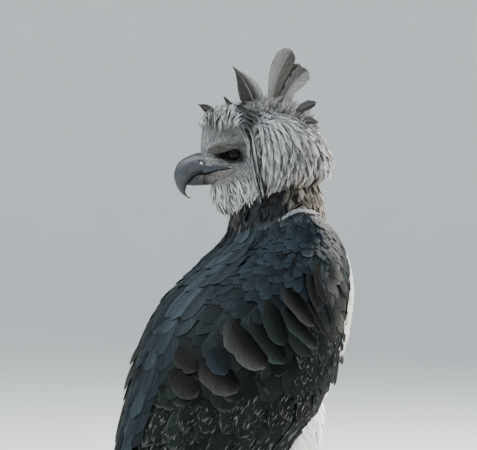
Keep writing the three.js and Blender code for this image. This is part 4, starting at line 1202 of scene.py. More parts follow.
candidateCount = 300000
candidates, candidateNormals = skinMap.scatter(candidateCount)
tracts = tractsOf(candidates, candidateNormals)
headF, headU = headPlace(candidates)[::2]
onMouth = (headF > 41) & (headF < 90) & (headU < gapeTop(headF) - 0.2) & (headU > gapeLow(headF) + 2.6)
bare = inEllipse(headF, headU, (41, -3), (10.5, 7.5)) | onMouth | inEllipse(headF, headU, (84, -40), (27, 10.5))
faceHere = tracts["face"] & ~bare
offCrown = distanceToLine(headF, headU, [(46, 70), (44, 60), (19, 38)]) > 5.5
onForehead = faceHere & (headU > 24 + 0.25 * np.abs(headF - 60)) & (headF > 22) & offCrown
onThroat = faceHere & (headU < -36 - 0.2 * (headF - 20))
onCheek = faceHere & ~onForehead & ~onThroat & offCrown
onLores = onCheek & inEllipse(headF, headU, (52, -5), (24, 9))
behindDisc = headF < discCurve(headU) - np.interp(headU, (-60, -30, 50), (6, 8, 9.5))
onRuffFront = tracts["ruff"] & (headF > -38) & behindDisc & offCrown
print("coat places scattered")

# Tracts of the head: where, spacing, length, width, lifts at root and tip, spread of lift, and how they look
headTracts = [
    {"name": "faceTufts", "where": onCheek & ~onLores, "spacing": 1.65, "length": 7, "width": 1.4,
     "lifts": (0.1, 0.8, 0.5), "shape": "lock", "stations": 4, "turn": 0.12, "rim": 0.2, "spread": 0.24, "tip": 1.6},
    {"name": "loreTufts", "where": onLores, "spacing": 2.6, "length": 4.6, "width": 1.2,
     "lifts": (0.1, 0.7, 0.4), "shape": "lock", "stations": 4, "turn": 0.3, "rim": 0.05, "spread": 0.3, "tip": 1.5},
    {"name": "foreheadTufts", "where": onForehead, "spacing": 2.6, "length": 12, "width": 2.6,
     "lifts": (0.2, 10.0, 3.0), "shape": "point", "stations": 5, "turn": 0.32, "rim": 0.7, "spread": 0.45, "tip": 3.2},
    {"name": "throatTufts", "where": onThroat, "spacing": 2.5, "length": 19, "width": 2.9,
     "lifts": (0.2, 6.5, 3.5), "shape": "point", "stations": 6, "turn": 0.28, "rim": 0.7, "spread": 0.45, "tip": 3.2},
    {"name": "ruffFeathers", "where": onRuffFront, "spacing": 2.3, "length": 24, "width": 5.0,
     "lifts": (0.4, 4.2, 1.6), "shape": "point", "stations": 8, "turn": 0.12, "rim": 0.8, "spread": 0.24,
     "tip": 1.9, "fold": 4.5},
    {"name": "napeFeathers", "where": tracts["ruff"] & (headF <= -34), "spacing": 3.0, "length": 24, "width": 4.4,
     "lifts": (0.4, 8.0, 2.6), "shape": "point", "stations": 7, "turn": 0.18, "rim": 0.6, "spread": 0.26,
     "tip": 1.7, "fold": 3.5},
    {"name": "ruffStrands", "where": tracts["ruff"] & behindDisc, "spacing": 3.6, "length": 18, "width": 1.1,
     "lifts": (2.6, 5.0, 1.2), "shape": "lock", "stations": 5, "turn": 0.12, "rim": 0.0, "spread": 0.3,
     "tip": 1.7, "fold": 4.5},
]


def foldAt(points):
    # the long folds of the ruff: one on a ridge and nought in a furrow
    forward, aside, up = headPlace(points)
    sweep = -62 * np.arctan2(-forward, np.maximum(np.abs(aside), 1))
    across = (sweep - foldLead(up)) / foldSpread(up)
    wave = np.cos(2 * math.pi * (across + 1.8 * np.sin(up / 13 + across / 9)) / foldPitch)
    return 1 - (0.5 - 0.5 * wave) ** 1.6


def folded(line, normal, depth):
    # lifts centre lines over the folds and leans their normals down the sides of each fold
    height, step = foldAt(line), 0.4
    slope = sum(((foldAt(line + step * way) - height) / step)[..., None] * way for way in headFrame)
    return line + normal * depth * height[..., None], unit(normal - 0.8 * depth * slope)


def makeHeadTract(tract):
    points = thinned(candidates[tract["where"]], tract["spacing"])
    fold = foldAt(points)
    depth = tract.get("fold", 0)
    if depth:
        kept = random.random(len(points)) > 0.7 * smooth(0.35, 0.0, fold)
        points, fold = points[kept], fold[kept]
    count = len(points)
    lengths = tract["length"] * varied(count, 0.75, 0.5)
    low, high, spread = tract["lifts"]
    jitter = varied(count, 0, spread)
    line, normal = walkSkin(points, flowOnHead, lengths, low + 0.3 * jitter, high - low + 0.7 * jitter,
                            tract["stations"], scattered(count, tract["turn"]))
    shade = 0.85
    if depth:
        line, normal = folded(line, normal, depth)
        # In the ruff, feathers in the folds' furrows are painted darker and those on the ridges lighter: painted shade
        # of the folds
        shade = 0.98 * (0.22 + fold)[:, None]
    paint = shaded(headColour(points) * shade, count, tract["spread"], tract["rim"], 0.2)
    feathers(tract["name"], line, normal, tract["width"] * varied(count, 0.75, 0.5), paint,
             brighter(paint, tract["tip"]), "grey", tract["shape"], camber=0.14, thick=0.3,
             tilt=scattered(count, 0.12), fray=0.25)


for tract in headTracts:
    makeHeadTract(tract)

# Narrow feathers with pale rims, laid in long lines down the edge of the disc: offset, lift, width, colour
discRows = [(0.8, 3.4, 3.0, (0.06, 0.059, 0.058)), (-1.8, 5.2, 3.2, (0.075, 0.074, 0.073)),
            (-4.6, 6.6, 3.4, (0.075, 0.074, 0.073)), (-7.4, 5.0, 4.2, (0.008, 0.0078, 0.0075))]
discPerRow = 18
# Dark feathers over the side of the crown: forward and up at root and tip, width, lift
crownFeathers = [
    ((46, 61), (15, 32), 8, 9), ((42, 60), (8, 36), 8, 10), ((38, 61), (4, 43), 8, 9), ((40, 56), (14, 22), 8, 9),
    ((48, 57), (22, 27), 7, 9), ((51, 54), (28, 27), 6, 8), ((44, 62), (18, 40), 8, 11), ((47, 64), (24, 46), 8, 12)]


def fromAside(forward, side, up, distance=90.0):
    # rays straight in from the side of the head: where they meet its skin, and how far in
    starts = onHead(forward, side * distance, up).reshape(-1, 3)
    hits = [skinMap.tree.ray_cast(point, -side * headAside) for point in starts.tolist()]
    return [hit[0] for hit in hits], [hit[3] for hit in hits]


def overHead(forward, side, up, lift):
    # centre lines over one side of the head's skin
    missed = onHead(forward, side * 40.0, up).reshape(-1, 3).tolist()
    outside = np.array([hit or point for hit, point in zip(fromAside(forward, side, up)[0], missed)])
    place, face, weights = skinMap.nearest(outside)
    normal = skinMap.normalAt(face, weights).reshape(*forward.shape, 3)
    line = place.reshape(normal.shape)
    for rows in (line, normal):
        for _ in range(5):
            rows[:, 1:-1] = (rows[:, :-2] + 2 * rows[:, 1:-1] + rows[:, 2:]) / 4
    normal = unit(normal)
    return line + normal * lift[..., None], normal


def makeDiscEdge(side, name):
    offset, lift, width, colour = (np.repeat(np.array(column), discPerRow, axis=0) for column in zip(*discRows))
    count = len(offset)
    shares = np.linspace(0, 1, 12)
    top = 58 - 98 * (np.tile(np.arange(discPerRow), len(discRows)) + random.random(count)) / discPerRow
    up = top[:, None] - varied(count, 30, 14)[:, None] * shares
    offset = (offset + scattered(count, 0.35))[:, None]
    forward = discCurve(up) + offset * np.interp(up, (-80, -41, -25, -4, 48), (0.4, 0.65, 0.85, 1.0, 1.25))
    lift = (lift + random.random(count))[:, None] + shares
    line, normal = overHead(forward, side, up, lift)
    paint = shaded(colour * (0.5 + 0.8 * random.random((count, 1))), count, 0.2, 0.15, 0.1)
    feathers("discEdge_" + name, line, normal, width * varied(count, 0.85, 0.3), paint, brighter(paint, 1.4), "disc",
             "blade", across=7, camber=0.2, thick=0.35, tilt=-0.2 * side, fray=0.15, twoTone=-0.9 * side,
             sharp=1.2, curve=1.8)


def makeCrown(side, name):
    first, last, width, lift = (np.array(column, float)[:, None] for column in zip(*crownFeathers))
    shares = np.linspace(0, 1, 12)
    forward, up = np.moveaxis(first + (last - first) * shares[None, :, None], -1, 0)
    top, bottom, wide = headTop(forward), headBottom(forward), headWidth(forward)
    rise = np.clip((up - (top + bottom) / 2) / ((top - bottom) / 2), 0, 0.97)
    level = np.sqrt(1 - rise ** 2)
    normal = unit(side * headAside * (level + 0.35)[..., None] + headUp * (0.5 * rise)[..., None])
    line = onHead(forward, side * wide * level, up) + normal * (lift * (0.4 + 0.6 * shares))[..., None]
    paint = shaded((0.016, 0.0156, 0.0155), len(width), 0.15, 0.25)
    feathers("crown_" + name, line, normal, width[:, 0], paint, brighter(paint, 1.8), "disc", "point",
             across=7, camber=0.2, thick=0.4, fray=0.25, twoTone=-0.75 * side, nicks=0.2, curve=2.4)


# The brow: short pale feathers along a ledge that shades the eye
browLine = [(79, -4), (70, -0.5), (60, 2.5), (50, 4.6), (41, 6.2), (32, 7.4), (25, 6.6)]
browRows = {"count": 300, "length": 9, "width": 1.8, "depth": 7.5}


def makeBrow(side, name):
    count = browRows["count"]
    shares = np.linspace(0, 1, 6)
    start = varied(count, 0, 5.4)
    above = browRows["depth"] * random.random(count) ** 1.3
    step = start[:, None] + shares * browRows["length"] / 9.5
    forward, up = (curve(step) for curve in stepped(browLine))
    lift = 5.6 * (1 - above / 9)[:, None] * np.interp(step, (0, 1.2, 4.6, 6), (0.25, 1, 1, 0.2)) + 0.8 * shares
    line, normal = overHead(forward, side, up + above[:, None] * (1 + 0.1 * shares), lift)
    lean = normal - 0.5 * headUp * (1 - above / browRows["depth"])[:, None, None]
    paint = shaded((0.07, 0.067, 0.061), count, 0.25, 0.2, 0.1)
    feathers("brow_" + name, line, unit(lean), browRows["width"] * varied(count, 0.7, 0.6), paint,
             brighter(paint, 1.4), "disc", "lock", camber=0.2, thick=0.3, tilt=scattered(count, 0.1), fray=0.2)


for side, name in sides[::-1]:
    makeDiscEdge(side, name)
    makeCrown(side, name)
    makeBrow(side, name)
print("head feathers made")


# The collar: dark feathers round the neck, browner on the nape and under the throat
def makeCollar():
    points = thinned(candidates[tracts["neck"]], 4.6)
    count = len(points)
    lengths = 24 * varied(count, 0.8, 0.4)
    lift = varied(count, 0.3, 2)
    line, normal = walkSkin(points, flowDown, lengths, lift, 4.2, 7, scattered(count, 0.2))
    forward = headPlace(points)[0]
    brown = np.maximum(smooth(-20, -55, forward) * smooth(640, 668, points[:, 2]),
                       0.7 * smooth(20, 50, forward) * smooth(640, 665, points[:, 2]))
    pick = (random.random(count) < 0.3 + 0.6 * brown) * brown
    paint = shaded(blended(np.array((0.016, 0.0165, 0.018)), (0.15, 0.135, 0.12), pick), count, 0.4, 0.1, 0.1)
    paint[:, 3] = np.clip(0.1 + 0.7 * brown * random.random(count), 0, 1)
    feathers("collarFeathers", line, normal, varied(count, 6, 5), paint, brighter(paint, 1.3, 1.25, 1.2), "collar",
             "point", across=5, camber=0.14, thick=0.4, tilt=scattered(count, 0.08), fray=0.25)


makeCollar()

# Body tracts under the wings
bodyTracts = [
    {"name": "bellyFeathers", "where": "belly", "spacing": 8.5, "length": 34, "width": 17, "lift": 4.5,
     "flow": flowOnTrunk, "colour": (0.8, 0.78, 0.74), "look": "white", "spread": 0.05},
    {"name": "thighFeathers", "where": "thigh", "spacing": 7.5, "length": 28, "width": 13, "lift": 4.5,
     "flow": flowOnTrunk, "colour": (0.86, 0.84, 0.8), "look": "barred", "spread": 0.05},
    {"name": "rumpFeathers", "where": "rump", "spacing": 11, "length": 58, "width": 27, "lift": 4.0,
     "flow": flowToTail, "colour": slate["low"], "look": "slate", "spread": 0.15},
]


def makeBodyTract(tract):
    points = thinned(candidates[tracts[tract["where"]]], tract["spacing"])
    count = len(points)
    lengths = tract["length"] * varied(count, 0.8, 0.35)
    lift = varied(count, 0.3, 1.5)
    line, normal = walkSkin(points, tract["flow"], lengths, lift, tract["lift"], 6, scattered(count, 0.12))
    paint = shaded(tract["colour"], count, tract["spread"], 0.25, 0.2)
    feathers(tract["name"], line, normal, tract["width"] * varied(count, 0.85, 0.3), paint, brighter(paint, 1.05),
             tract["look"], across=5, camber=0.14, thick=0.4, tilt=scattered(count, 0.07), fray=0.14)


for tract in bodyTracts:
    makeBodyTract(tract)

# The tail: twelve barred feathers
tailFan = {"count": 12, "spread": 12, "lean": 1.2, "width": 56, "apart": 1.3, "start": 70, "height": 8,
           "aside": 10, "length": 384}


def makeTail(fan):
    i = np.arange(fan["count"])
    side = np.where(i % 2, -1, 1)
    outward = (i // 2) / (fan["count"] / 2 - 1)
    lean = np.radians(side * (fan["lean"] + fan["spread"] / 2 * outward))
    across, height = side * fan["aside"] * outward, fan["apart"] * i - fan["height"]
    reach = fan["length"] - fan["start"] - 8 * outward ** 2
    shares = np.linspace(0, 1, 40)
    line = onTail(fan["start"] + (reach * np.cos(lean))[:, None] * shares,
                  across[:, None] + (reach * np.sin(lean))[:, None] * shares, height[:, None] + 0 * shares)
    paint = shaded((0.016, 0.016, 0.018), fan["count"], 0.1, 0.2, 0.05)
    return feathers("tailFeathers", line, np.broadcast_to(tailUp, line.shape), fan["width"], paint, paint, "tail",
                    "blade", across=9, camber=0.04, thick=0.8, fray=0.02)


tail = makeTail(tailFan)

# The crest: root, middle and tip as forward, aside and up, width, shape, colours at root and tip, two tones
crestFeathers = [
    ((13, 8, 54), (21, 11, 85), (44, 14, 119), 33, "leaf", (0.16, 0.158, 0.156), (0.16, 0.145, 0.135), -0.75),
    ((-10, 6, 56), (-19, 9, 104), (-38, 14, 142), 29, "oar", (0.16, 0.152, 0.142), (0.11, 0.105, 0.1), 0.4),
    ((-18, 11, 54), (-40, 20, 91), (-62, 27, 111), 25, "oar", (0.18, 0.173, 0.165), (0.13, 0.127, 0.123), -0.5),
    ((-36, 14, 46), (-54, 22, 60), (-73, 27, 67), 13, "blade", (0.07, 0.066, 0.064), (0.035, 0.034, 0.036), 0.2),
    ((-46, 20, 38), (-60, 30, 42), (-76, 36, 39), 14, "point", (0.06, 0.057, 0.055), (0.04, 0.038, 0.038), 0.2),
    ((66, 7, 44), (79, 8, 58), (94, 9, 65), 13, "leaf", (0.06, 0.057, 0.055), (0.03, 0.028, 0.028), -0.3),
    ((42, 9, 52), (49, 11, 65), (57, 12, 77), 8, "point", (0.05, 0.048, 0.047), (0.025, 0.024, 0.024), 0.2)]
middleFeather = ((-14, 0, 52), (-32, 0, 88), (-50, 0, 122), 26, "oar", (0.07, 0.066, 0.063), (0.04, 0.037, 0.035), 0.2)


def makeCrest():
    rows = [(row, side) for row in crestFeathers for side in (1, -1)] + [(middleFeather, 1)]
    shares = np.linspace(0, 1, 22)
    for shape in ("leaf", "oar", "blade", "point"):
        some = [(row, side) for row, side in rows if row[4] == shape]
        line = []
        for row, side in some:
            root, middle, tip = (np.array(place)[:, None] * ((1,), (side,), (1,)) for place in row[:3])
            bend = middle - (root + tip) / 2
            line.append(onHead(*(root * (1 - shares) + tip * shares + 4 * shares * (1 - shares) * bend)))
        line = np.array(line)
        width, _, root, tip, tones = zip(*[row[3:] for row, side in some])
        root, tip = (np.hstack((colour, np.full((len(some), 1), 0.55))) for colour in (root, tip))
        feathers("crest_" + shape, line, np.broadcast_to(headAside, line.shape), width, root, tip, "crest", shape,
                 across=11, camber=0.14, fray=0.09, twoTone=tones, nicks=0.12, sharp=4.0,
                 split=-0.55 if shape == "leaf" else 0.0)


makeCrest()

# Pale down about the roots of the crest: broad soft locks under fine strands
crestDown = [
    {"name": "crestPuffs", "count": 650, "length": 22, "width": 4.4, "colour": (0.2, 0.195, 0.187), "tip": 1.6,
     "across": 5},
    {"name": "crestDown", "count": 1500, "length": 21, "width": 1.3, "colour": (0.26, 0.253, 0.243), "tip": 1.4,
     "across": 3}]


def makeCrestDown(row):
    count = row["count"]
    forward = 24 - 86 * random.random(count) ** 0.9
    aside = 18 * np.clip(scattered(count, 0.6), -1.4, 1.4)
    root = onHead(forward, aside, headTop(forward) - 6 - 0.012 * aside ** 2)
    lean = np.radians(np.interp(forward, (-62, -40, -10, 24), (160, 134, 108, 84)) + scattered(count, 16))
    sideways = 0.014 * aside + scattered(count, 0.22)
    way = unit(stacked(np.cos(lean), sideways, np.sin(lean)) @ headFrame)
    long = row["length"] * varied(count, 0.55, 0.6) * np.interp(forward, (-62, -20, 24), (0.6, 1, 0.75))
    shares = np.linspace(0, 1, 7)
    curl = (scattered(count, 0.3) * long)[:, None, None] * (shares ** 2)[None, :, None]
    line = root[:, None] + way[:, None] * (long[:, None] * shares)[..., None] + curl * (headForward - 0.4 * headUp)
    normal = np.broadcast_to(headAside, line.shape) + 0.4 * random.standard_normal((count, 1, 3))
    paint = shaded(row["colour"], count, 0.16)
    # Each lock is painted darker at its root, as shade among the down, and paler at its tip
    feathers(row["name"], line, unit(normal), row["width"] * varied(count, 0.6, 0.8), brighter(paint, 0.6),
             brighter(paint, row["tip"]), "disc", "lock", across=row["across"], camber=0.3, thick=0.25, fray=0.4)


for row in crestDown:
    makeCrestDown(row)
print("body, tail and crest made")

# Eyes: a round ball with its iris and a wet front, in a dark lid
eyeLook = {"radius": 11.4, "place": (40.5, 30.5, -3.2), "gaze": (0.34, 0.94, 0.0), "pupil": 0.045, "iris": 0.155}
lidLook = {"half": (8.2, 5.2), "top": 0.6, "tube": 0.7, "over": 0.4, "steps": 64, "sides": 12}


def makeEyeMaterial():
    material, tree, shader = startMaterial("eyeBall", 0.5, coat=0.2, gloss=0.0)
    split = addSplit(tree, addUv(tree, "UVMap"))
    out = addMath(tree, "SUBTRACT", 1.0, split[1])
    spokes = addVector(tree, addMath(tree, "MULTIPLY", split[0], 90.0), addMath(tree, "MULTIPLY", out, 12.0))
    streak = addNoise(tree, spokes, 1.0, 3, 0.6)
    iris = addMix(tree, addRange(tree, streak, 0.35, 0.65), (0.0025, 0.002, 0.0018), (0.007, 0.0058, 0.005))
    iris = addMix(tree, addRange(tree, out, eyeLook["iris"] - 0.03, eyeLook["iris"]), iris, (0.003, 0.003, 0.003))
    pupil = addRange(tree, out, eyeLook["pupil"], eyeLook["pupil"] + 0.012)
    feed(tree, shader["Base Color"], addMix(tree, pupil, (0.002, 0.002, 0.002), iris))
    shader["Coat Roughness"].default_value = 0.03
    return material


def turned(axis, points):
    # turns points so that their z axis lies along the given axis
    axis = unit(np.array(axis, float))
    across = unit(np.cross(headUp, axis))
    return points @ np.stack((across, np.cross(axis, across), axis))


eyeMaterial = makeEyeMaterial()
lidMaterial = grainMaterial("eyelid", 0.7, (900, 3, 0.6), (0.006, 0.006, 0.006), (0.018, 0.017, 0.017),
                            bump=(0.5, 0.0004), gloss=0.1)


def makeEyeBall(side, name):
    bpy.ops.object.select_all(action="DESELECT")
    bpy.ops.mesh.primitive_uv_sphere_add(segments=48, ring_count=36, radius=eyeLook["radius"] * 0.001)
    eye = bpy.context.object
    eye.name = eye.data.name = "eyeBall_" + name
    points = meshPoints(eye.data) + bodyShift
    points *= (1 + 0.07 * smooth(0.82, 0.97, points[:, 2] / eyeLook["radius"]))[:, None]
    gaze = np.array(eyeLook["gaze"]) * (1, side, 1) @ headFrame
    place = onHead(*(np.array(eyeLook["place"]) * (1, side, 1)))
    setMeshPoints(eye.data, turned(gaze, points) + place)
    bpy.ops.object.shade_smooth()
    finishPiece(eye, eyeMaterial)
    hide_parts("eye_" + name)
    return place


def makeLid(side, name, place):
    look, (ahead, outside, high) = lidLook, eyeLook["place"]
    turn, ring = around(look["steps"]), around(look["sides"])
    wide, tall = look["half"]
    forward = ahead + wide * np.cos(turn)
    up = high + tall * np.sin(turn) * np.where(np.sin(turn) > 0, look["top"], 1.0) - 0.08 * wide * np.cos(turn)
    away = np.hypot(forward - ahead, up - high)
    out = outside + np.sqrt(np.maximum((eyeLook["radius"] + look["over"]) ** 2 - away ** 2, 4.0))
    middle = onHead(forward, side * out, up)
    along = unit(np.roll(middle, -1, 0) - np.roll(middle, 1, 0))
    outward = unit(middle - place)
    across = np.cross(along, outward)
    tube = (middle[:, None] + look["tube"] * (np.cos(ring)[None, :, None] * outward[:, None] * 0.8
                                              + np.sin(ring)[None, :, None] * across[:, None] * 1.5))
    i, j = np.mgrid[:look["steps"], :look["sides"]]
    k, m = (i + 1) % look["steps"], (j + 1) % look["sides"]
    faces = np.stack([a * look["sides"] + b for a, b in ((i, j), (k, j), (k, m), (i, m))], -1).reshape(-1, 4)
    lid = makePiece("eyelid_" + name, tube.reshape(-1, 3), faces.tolist(), lidMaterial)
    editMesh(lid, fixNormals)


for side, name in sides[::-1]:
    makeLid(side, name, makeEyeBall(side, name))
print("eyes made")

# The bill: sections as top and bottom (forward, up each) and half width
upperRings = [
    (50, -9, 46, -25, 17), (66, -5, 62, -27.5, 19), (80, -2.5, 76, -29.5, 19), (92, -3, 85, -31.8, 17),
    (104, -6.5, 94, -34.5, 14.4), (116, -13, 101.5, -39, 12), (124, -22.5, 106.5, -45.5, 9.6),
    (127, -35, 109.5, -52.5, 7.6), (124, -48.5, 110.5, -57.5, 5.6), (117, -60, 108.5, -62, 3.6),
    (108, -66.5, 104.5, -65, 1.6)]
lowerRings = [
    (48, -27, 50, -44, 15.5), (66, -29.5, 68, -48, 15), (80, -29, 82, -49.5, 12.8), (92, -30.5, 94, -50, 9.6),
    (100, -34.5, 102.5, -49.8, 6.6), (105, -40.5, 107, -49, 3.6)]
billHalves = {
    "upper": {"rings": upperRings, "tip": (102.5, 0, -68), "grid": (150, 72), "power": (1.15, 0.8)},
    "lower": {"rings": lowerRings, "tip": (109.5, 0, -47.5), "grid": (60, 48), "power": (0.8, 1.1)},
}
billLook = {"nostril": (88, -17), "nostrilHalf": (4.8, 2.3), "lean": 36, "nostrilDepth": 3.0, "cere": 81,
            "horn": (0.036, 0.038, 0.043), "cereColour": (0.044, 0.047, 0.054), "nostrilHighlight": (0.75, 0.78, 0.8),
            "ridge": (0.14, 0.065, 0.045), "base": (0.125, 0.106, 0.097)}


def makeBillMaterial():
    material, tree, shader = startMaterial("billHorn", 0.45, coat=0.1, gloss=0.35)
    place = addPlace(tree)
    mapping = tree.nodes.new("ShaderNodeMapping")
    mapping.inputs["Rotation"].default_value = (0.3, 0.5, headTurn)
    mapping.inputs["Scale"].default_value = (0.35, 2.0, 3.0)
    feed(tree, mapping.inputs["Vector"], place)
    cloud = addNoise(tree, place, 90, 4, 0.6)
    marks = addRange(tree, addNoise(tree, mapping.outputs["Vector"], 420, 4, 0.75), 0.58, 0.68)
    colour = addPaint(tree)["Color"]
    for factor in (addRange(tree, cloud, 0.3, 0.7, (0.65, 1.5)), addMath(tree, "MULTIPLY_ADD", marks, 3.6, 1.0)):
        colour = addMix(tree, 1.0, colour, factor, "MULTIPLY")
    feed(tree, shader["Base Color"], colour)
    feed(tree, shader["Roughness"], addRange(tree, cloud, 0.3, 0.7, (0.36, 0.6)))
    addBump(tree, shader, addMath(tree, "MULTIPLY_ADD", marks, -0.5, cloud), 0.5, 0.0008)
    return material


billMaterial = makeBillMaterial()


def upperBill(points, colour, along, ridge):
    # nostrils, painted dark in their hollows with a pale painted highlight inside, the groove before the cere and the
    # brown ridge
    look = billLook
    forward, aside, up = points.T
    (middleF, middleU), (halfLong, halfTall) = look["nostril"], look["nostrilHalf"]
    lean = math.radians(look["lean"])
    long = (forward - middleF) * math.cos(lean) + (up - middleU) * math.sin(lean)
    tall = (up - middleU) * math.cos(lean) - (forward - middleF) * math.sin(lean)
    away = np.hypot(long / halfLong, tall / halfTall)
    hollow = look["nostrilDepth"] * smooth(1.05, 0.6, away) - 0.5 * np.exp(-((away - 1.25) / 0.25) ** 2)
    groove = 0.5 * np.exp(-((forward - look["cere"] - 0.12 * up) / 1.1) ** 2)
    inside = smooth(0.66, 0.45, np.hypot(long / halfLong, (tall + 0.3) / halfTall))
    points[:, 1] -= np.sign(aside) * (hollow + groove) * smooth(2, 6, np.abs(aside))
    colour = blended(colour, look["cereColour"], smooth(look["cere"] + 2, look["cere"] - 2, forward))
    # The nostril's hollow is painted darker as shade, and the pale patch inside it is a painted highlight
    colour = colour * (1 - smooth(1.1, 0.8, away)[:, None] * 0.7)
    colour = blended(colour, look["nostrilHighlight"], inside)
    return blended(colour, look["ridge"], smooth(5.5, 8, along) * smooth(0.9, 0.99, ridge) * 0.8)


def lowerBill(points, colour, *_):
    # fleshy at its base, and painted near black along its rim as shade inside the mouth
    forward, up = points.T[::2]
    colour = blended(colour * 0.6, billLook["base"], smooth(92, 74, forward - 0.35 * (up + 40)))
    rim = np.interp(forward, (83, 93, 101.4, 104.9, 109), (-31.9, -32.3, -37.5, -41.4, -47))
    return colour * (1 - 0.98 * smooth(3.4, 2.2, rim - up)[:, None])


def billHalf(name, half, finish):
    steps, count = half["grid"]
    index = np.linspace(0, len(half["rings"]) - 1, steps)
    topF, topU, lowF, lowU, wide = [curve(index)[:, None] for curve in stepped(half["rings"])]
    turn = around(count)[None]
    rise, level = np.cos(turn), np.sin(turn)
    share = (1 + rise) / 2
    aside = wide * np.sign(level) * np.abs(level) ** np.where(rise > 0, *half["power"])
    points, faces = loft(stacked(lowF + (topF - lowF) * share, aside, lowU + (topU - lowU) * share), half["tip"])
    along = np.concatenate((np.repeat(index, count), (0, len(half["rings"]))))
    ridge = np.concatenate((np.tile(rise[0], steps), (0, 1)))
    colour = finish(points, np.array(billLook["horn"]) * np.ones((len(points), 1)), along, ridge)
    piece = makePiece(name + "Bill", onHead(*points.T), faces, billMaterial)
    setPaint(piece.data, colour)
    editMesh(piece, fixNormals)
    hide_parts(name + "_bill")


gapeMaterial = grainMaterial("gapeSkin", 0.75, (500, 4, 0.6), "paint", (0.7, 1.4), bump=(0.6, 0.0006),
                             reach=(0.3, 0.7), gloss=0.1)


# Bare skin about the corner of the mouth: a dark strip, the line of the mouth painted near black as shade in its slit,
# and a pinker edge under it with its creases painted darker as shade
def makeGape(side, name):
    forward = np.linspace(86, 38, 70)[:, None]
    share = np.linspace(0, 1, 31)[None]
    top, low = gapeTop(forward) + 1.2, gapeLow(forward) - 0.8
    up = top + (low - top) * share
    forward = forward + 0 * up
    far = np.array([distance or 60.0 for distance in fromAside(forward, side, up)[1]])
    fromMouth = distanceToLine(forward, up, mouthLine)
    above = up > np.interp(forward, *np.array(mouthLine[::-1]).T)
    below = (1 - 0.16 * smooth(-38, -48, up)) * np.interp(forward, (58, 66, 74, 80, 86), (22.5, 21, 18.4, 15.6, 12.6))
    over = np.interp(forward, (58, 66, 73, 79, 83, 86), (25, 24.8, 23.6, 20.6, 17.5, 14))
    aside = np.maximum((90 - far.reshape(forward.shape)) * smooth(79, 72, forward),
                       np.where(above, over, below) * smooth(50, 58, forward))
    for _ in range(6):
        aside[1:-1] = (aside[:-2] + 2 * aside[1:-1] + aside[2:]) / 4
    edge = smooth(0, 0.14, np.minimum(share, 1 - share)) * smooth(38, 41, forward)
    fold = np.sin(up * 2.9 + 0.16 * forward + np.sin(forward / 4)) * ~above
    lift = -1.6 + (2.3 + 0.3 * fold) * edge - 0.5 * np.exp(-(fromMouth / 1.1) ** 2) * smooth(45, 52, forward)
    points = onHead(forward, side * (aside + lift), up).reshape(-1, 3)
    wide = share.size
    faces = [(i + j, i + j + 1, i + wide + j + 1, i + wide + j)[::side]
             for i in range(0, (len(forward) - 1) * wide, wide) for j in range(wide - 1)]
    piece = makePiece("gape_" + name, points, faces, gapeMaterial)
    strength = 1 - 0.85 * smooth(70, 88, forward - 0.35 * (up + 40))
    # The pink follows the skin's folds: painted shade in the creases, lighter on the ridges
    strength = strength * (1 + 0.35 * fold) * (0.75 + 0.5 * random.random(forward.shape))
    colour = np.where(above[..., None], (0.042, 0.046, 0.053), np.array((0.125, 0.112, 0.106)) * strength[..., None])
    # Near black along the mouth line: painted shade in the slit of the mouth
    gap = 0.9 + 0.9 * smooth(50, 85, forward)
    colour = colour * (1 - 0.98 * np.exp(-(fromMouth / gap) ** 4) * smooth(43, 50, forward))[..., None]
    setPaint(piece.data, colour.reshape(-1, 3))


for side, name in sides[::-1]:
    makeGape(side, name)
billHalf("upper", billHalves["upper"], upperBill)
billHalf("lower", billHalves["lower"], lowerBill)
print("bill made")


# Legs: scaled yellow skin and black claws, given to the modelled nodes
def makeScaleMaterial(name, scale, first, second):
    material, tree, shader = startMaterial(name, 0.55, coat=0.1)
    place = addPlace(tree)
    mapping = tree.nodes.new("ShaderNodeMapping")
    mapping.inputs["Scale"].default_value = scale
    feed(tree, mapping.inputs["Vector"], place)
    cells = []
    for feature in ("DISTANCE_TO_EDGE", "F1"):
        node = tree.nodes.new("ShaderNodeTexVoronoi")
        node.feature = feature
        for socket, value in (("Scale", 1), ("Randomness", 0.7), ("Vector", mapping.outputs["Vector"])):
            feed(tree, node.inputs[socket], value)
        cells.append(node.outputs)
    gap = addRange(tree, cells[0]["Distance"], 0.0, 0.12)
    tone = addMath(tree, "MULTIPLY_ADD", cells[1]["Color"], 0.35, 0.8)
    colour = addMix(tree, 1.0, addMix(tree, gap, second, first), tone, "MULTIPLY")
    dirt = addRange(tree, addNoise(tree, place, 60, 4, 0.6), 0.5, 0.75)
    colour = addMix(tree, addMath(tree, "MULTIPLY", dirt, 0.4), colour, (0.16, 0.11, 0.06))
    feed(tree, shader["Base Color"], colour)
    feed(tree, shader["Roughness"], addRange(tree, gap, 0, 1, (0.8, 0.5)))
    addBump(tree, shader, gap, 0.6, 0.0012)
    return material


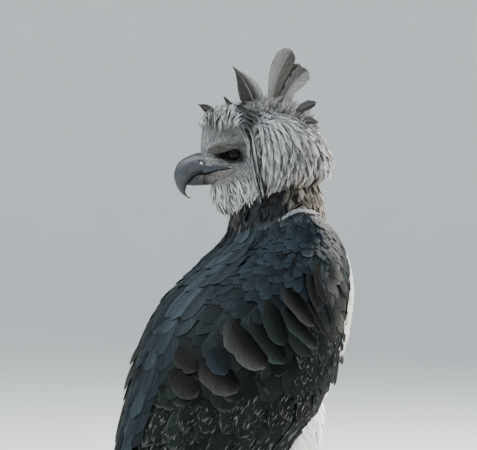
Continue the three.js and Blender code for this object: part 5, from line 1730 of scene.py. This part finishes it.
legLooks = {
    "shank": makeScaleMaterial("shankScales", (95, 95, 150), (0.56, 0.40, 0.12), (0.2, 0.12, 0.04)),
    "toe": makeScaleMaterial("toeScales", (130, 130, 170), (0.56, 0.40, 0.12), (0.18, 0.11, 0.04)),
    "claw": grainMaterial("clawHorn", 0.3, (150, 4, 0.65), (0.007, 0.007, 0.008), (0.04, 0.037, 0.035),
                          bump=(0.3, 0.0006), reach=(0.35, 0.7), coat=0.4),
}
for nodeName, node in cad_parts.items():
    look = legLooks.get(nodeName.split("_")[0])
    if look:
        for slot in node.material_slots:
            slot.material = look

setPaint(skin.data, skinColour(skinMap.points, skinMap.normals))
finishPiece(skin, grainMaterial("skin", 0.75, (500, 4, 0.6), "paint", (0.7, 1.25), bump=(0.5, 0.0008),
                                reach=(0.3, 0.7)))
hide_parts("torso", "neck", "head", "thigh_left", "thigh_right", "wing_left", "wing_right")
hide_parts("tail")

# The floor: a pale round sheet, swept up all round by steps out and up
floorShape = {"radius": 6.0, "rise": [(0.5, 0.06), (0.45, 0.2), (0.35, 0.4), (0.2, 0.6), (0.1, 0.8), (0.0, 2.6)]}


def sweepUp():
    radius = floorShape["radius"]
    for outward, upward in floorShape["rise"]:
        grown = (radius + outward) / radius
        bpy.ops.mesh.extrude_edges_move(TRANSFORM_OT_translate={"value": (0, 0, upward)})
        bpy.ops.transform.resize(value=(grown, grown, 1), center_override=(0, 0, 0))
        radius += outward
    bpy.ops.mesh.select_all(action="SELECT")
    bpy.ops.mesh.normals_make_consistent(inside=True)


bpy.ops.object.select_all(action="DESELECT")
bpy.ops.mesh.primitive_circle_add(vertices=96, radius=floorShape["radius"], fill_type="NGON")
floor = bpy.context.object
floor.name = "floor"
editMesh(floor, sweepUp)
bpy.ops.object.shade_smooth_by_angle(angle=math.radians(40))
floorMaterial = grainMaterial("paleFloor", 0.9, (6, 3, 0.5), (0.47, 0.52, 0.53), (0.53, 0.57, 0.575))
floorGlow = floorMaterial.node_tree.nodes["Principled BSDF"].inputs
floorGlow["Emission Color"].default_value = (0.86, 0.9, 0.92, 1)
floorGlow["Emission Strength"].default_value = 0.3
floor.data.materials.append(floorMaterial)
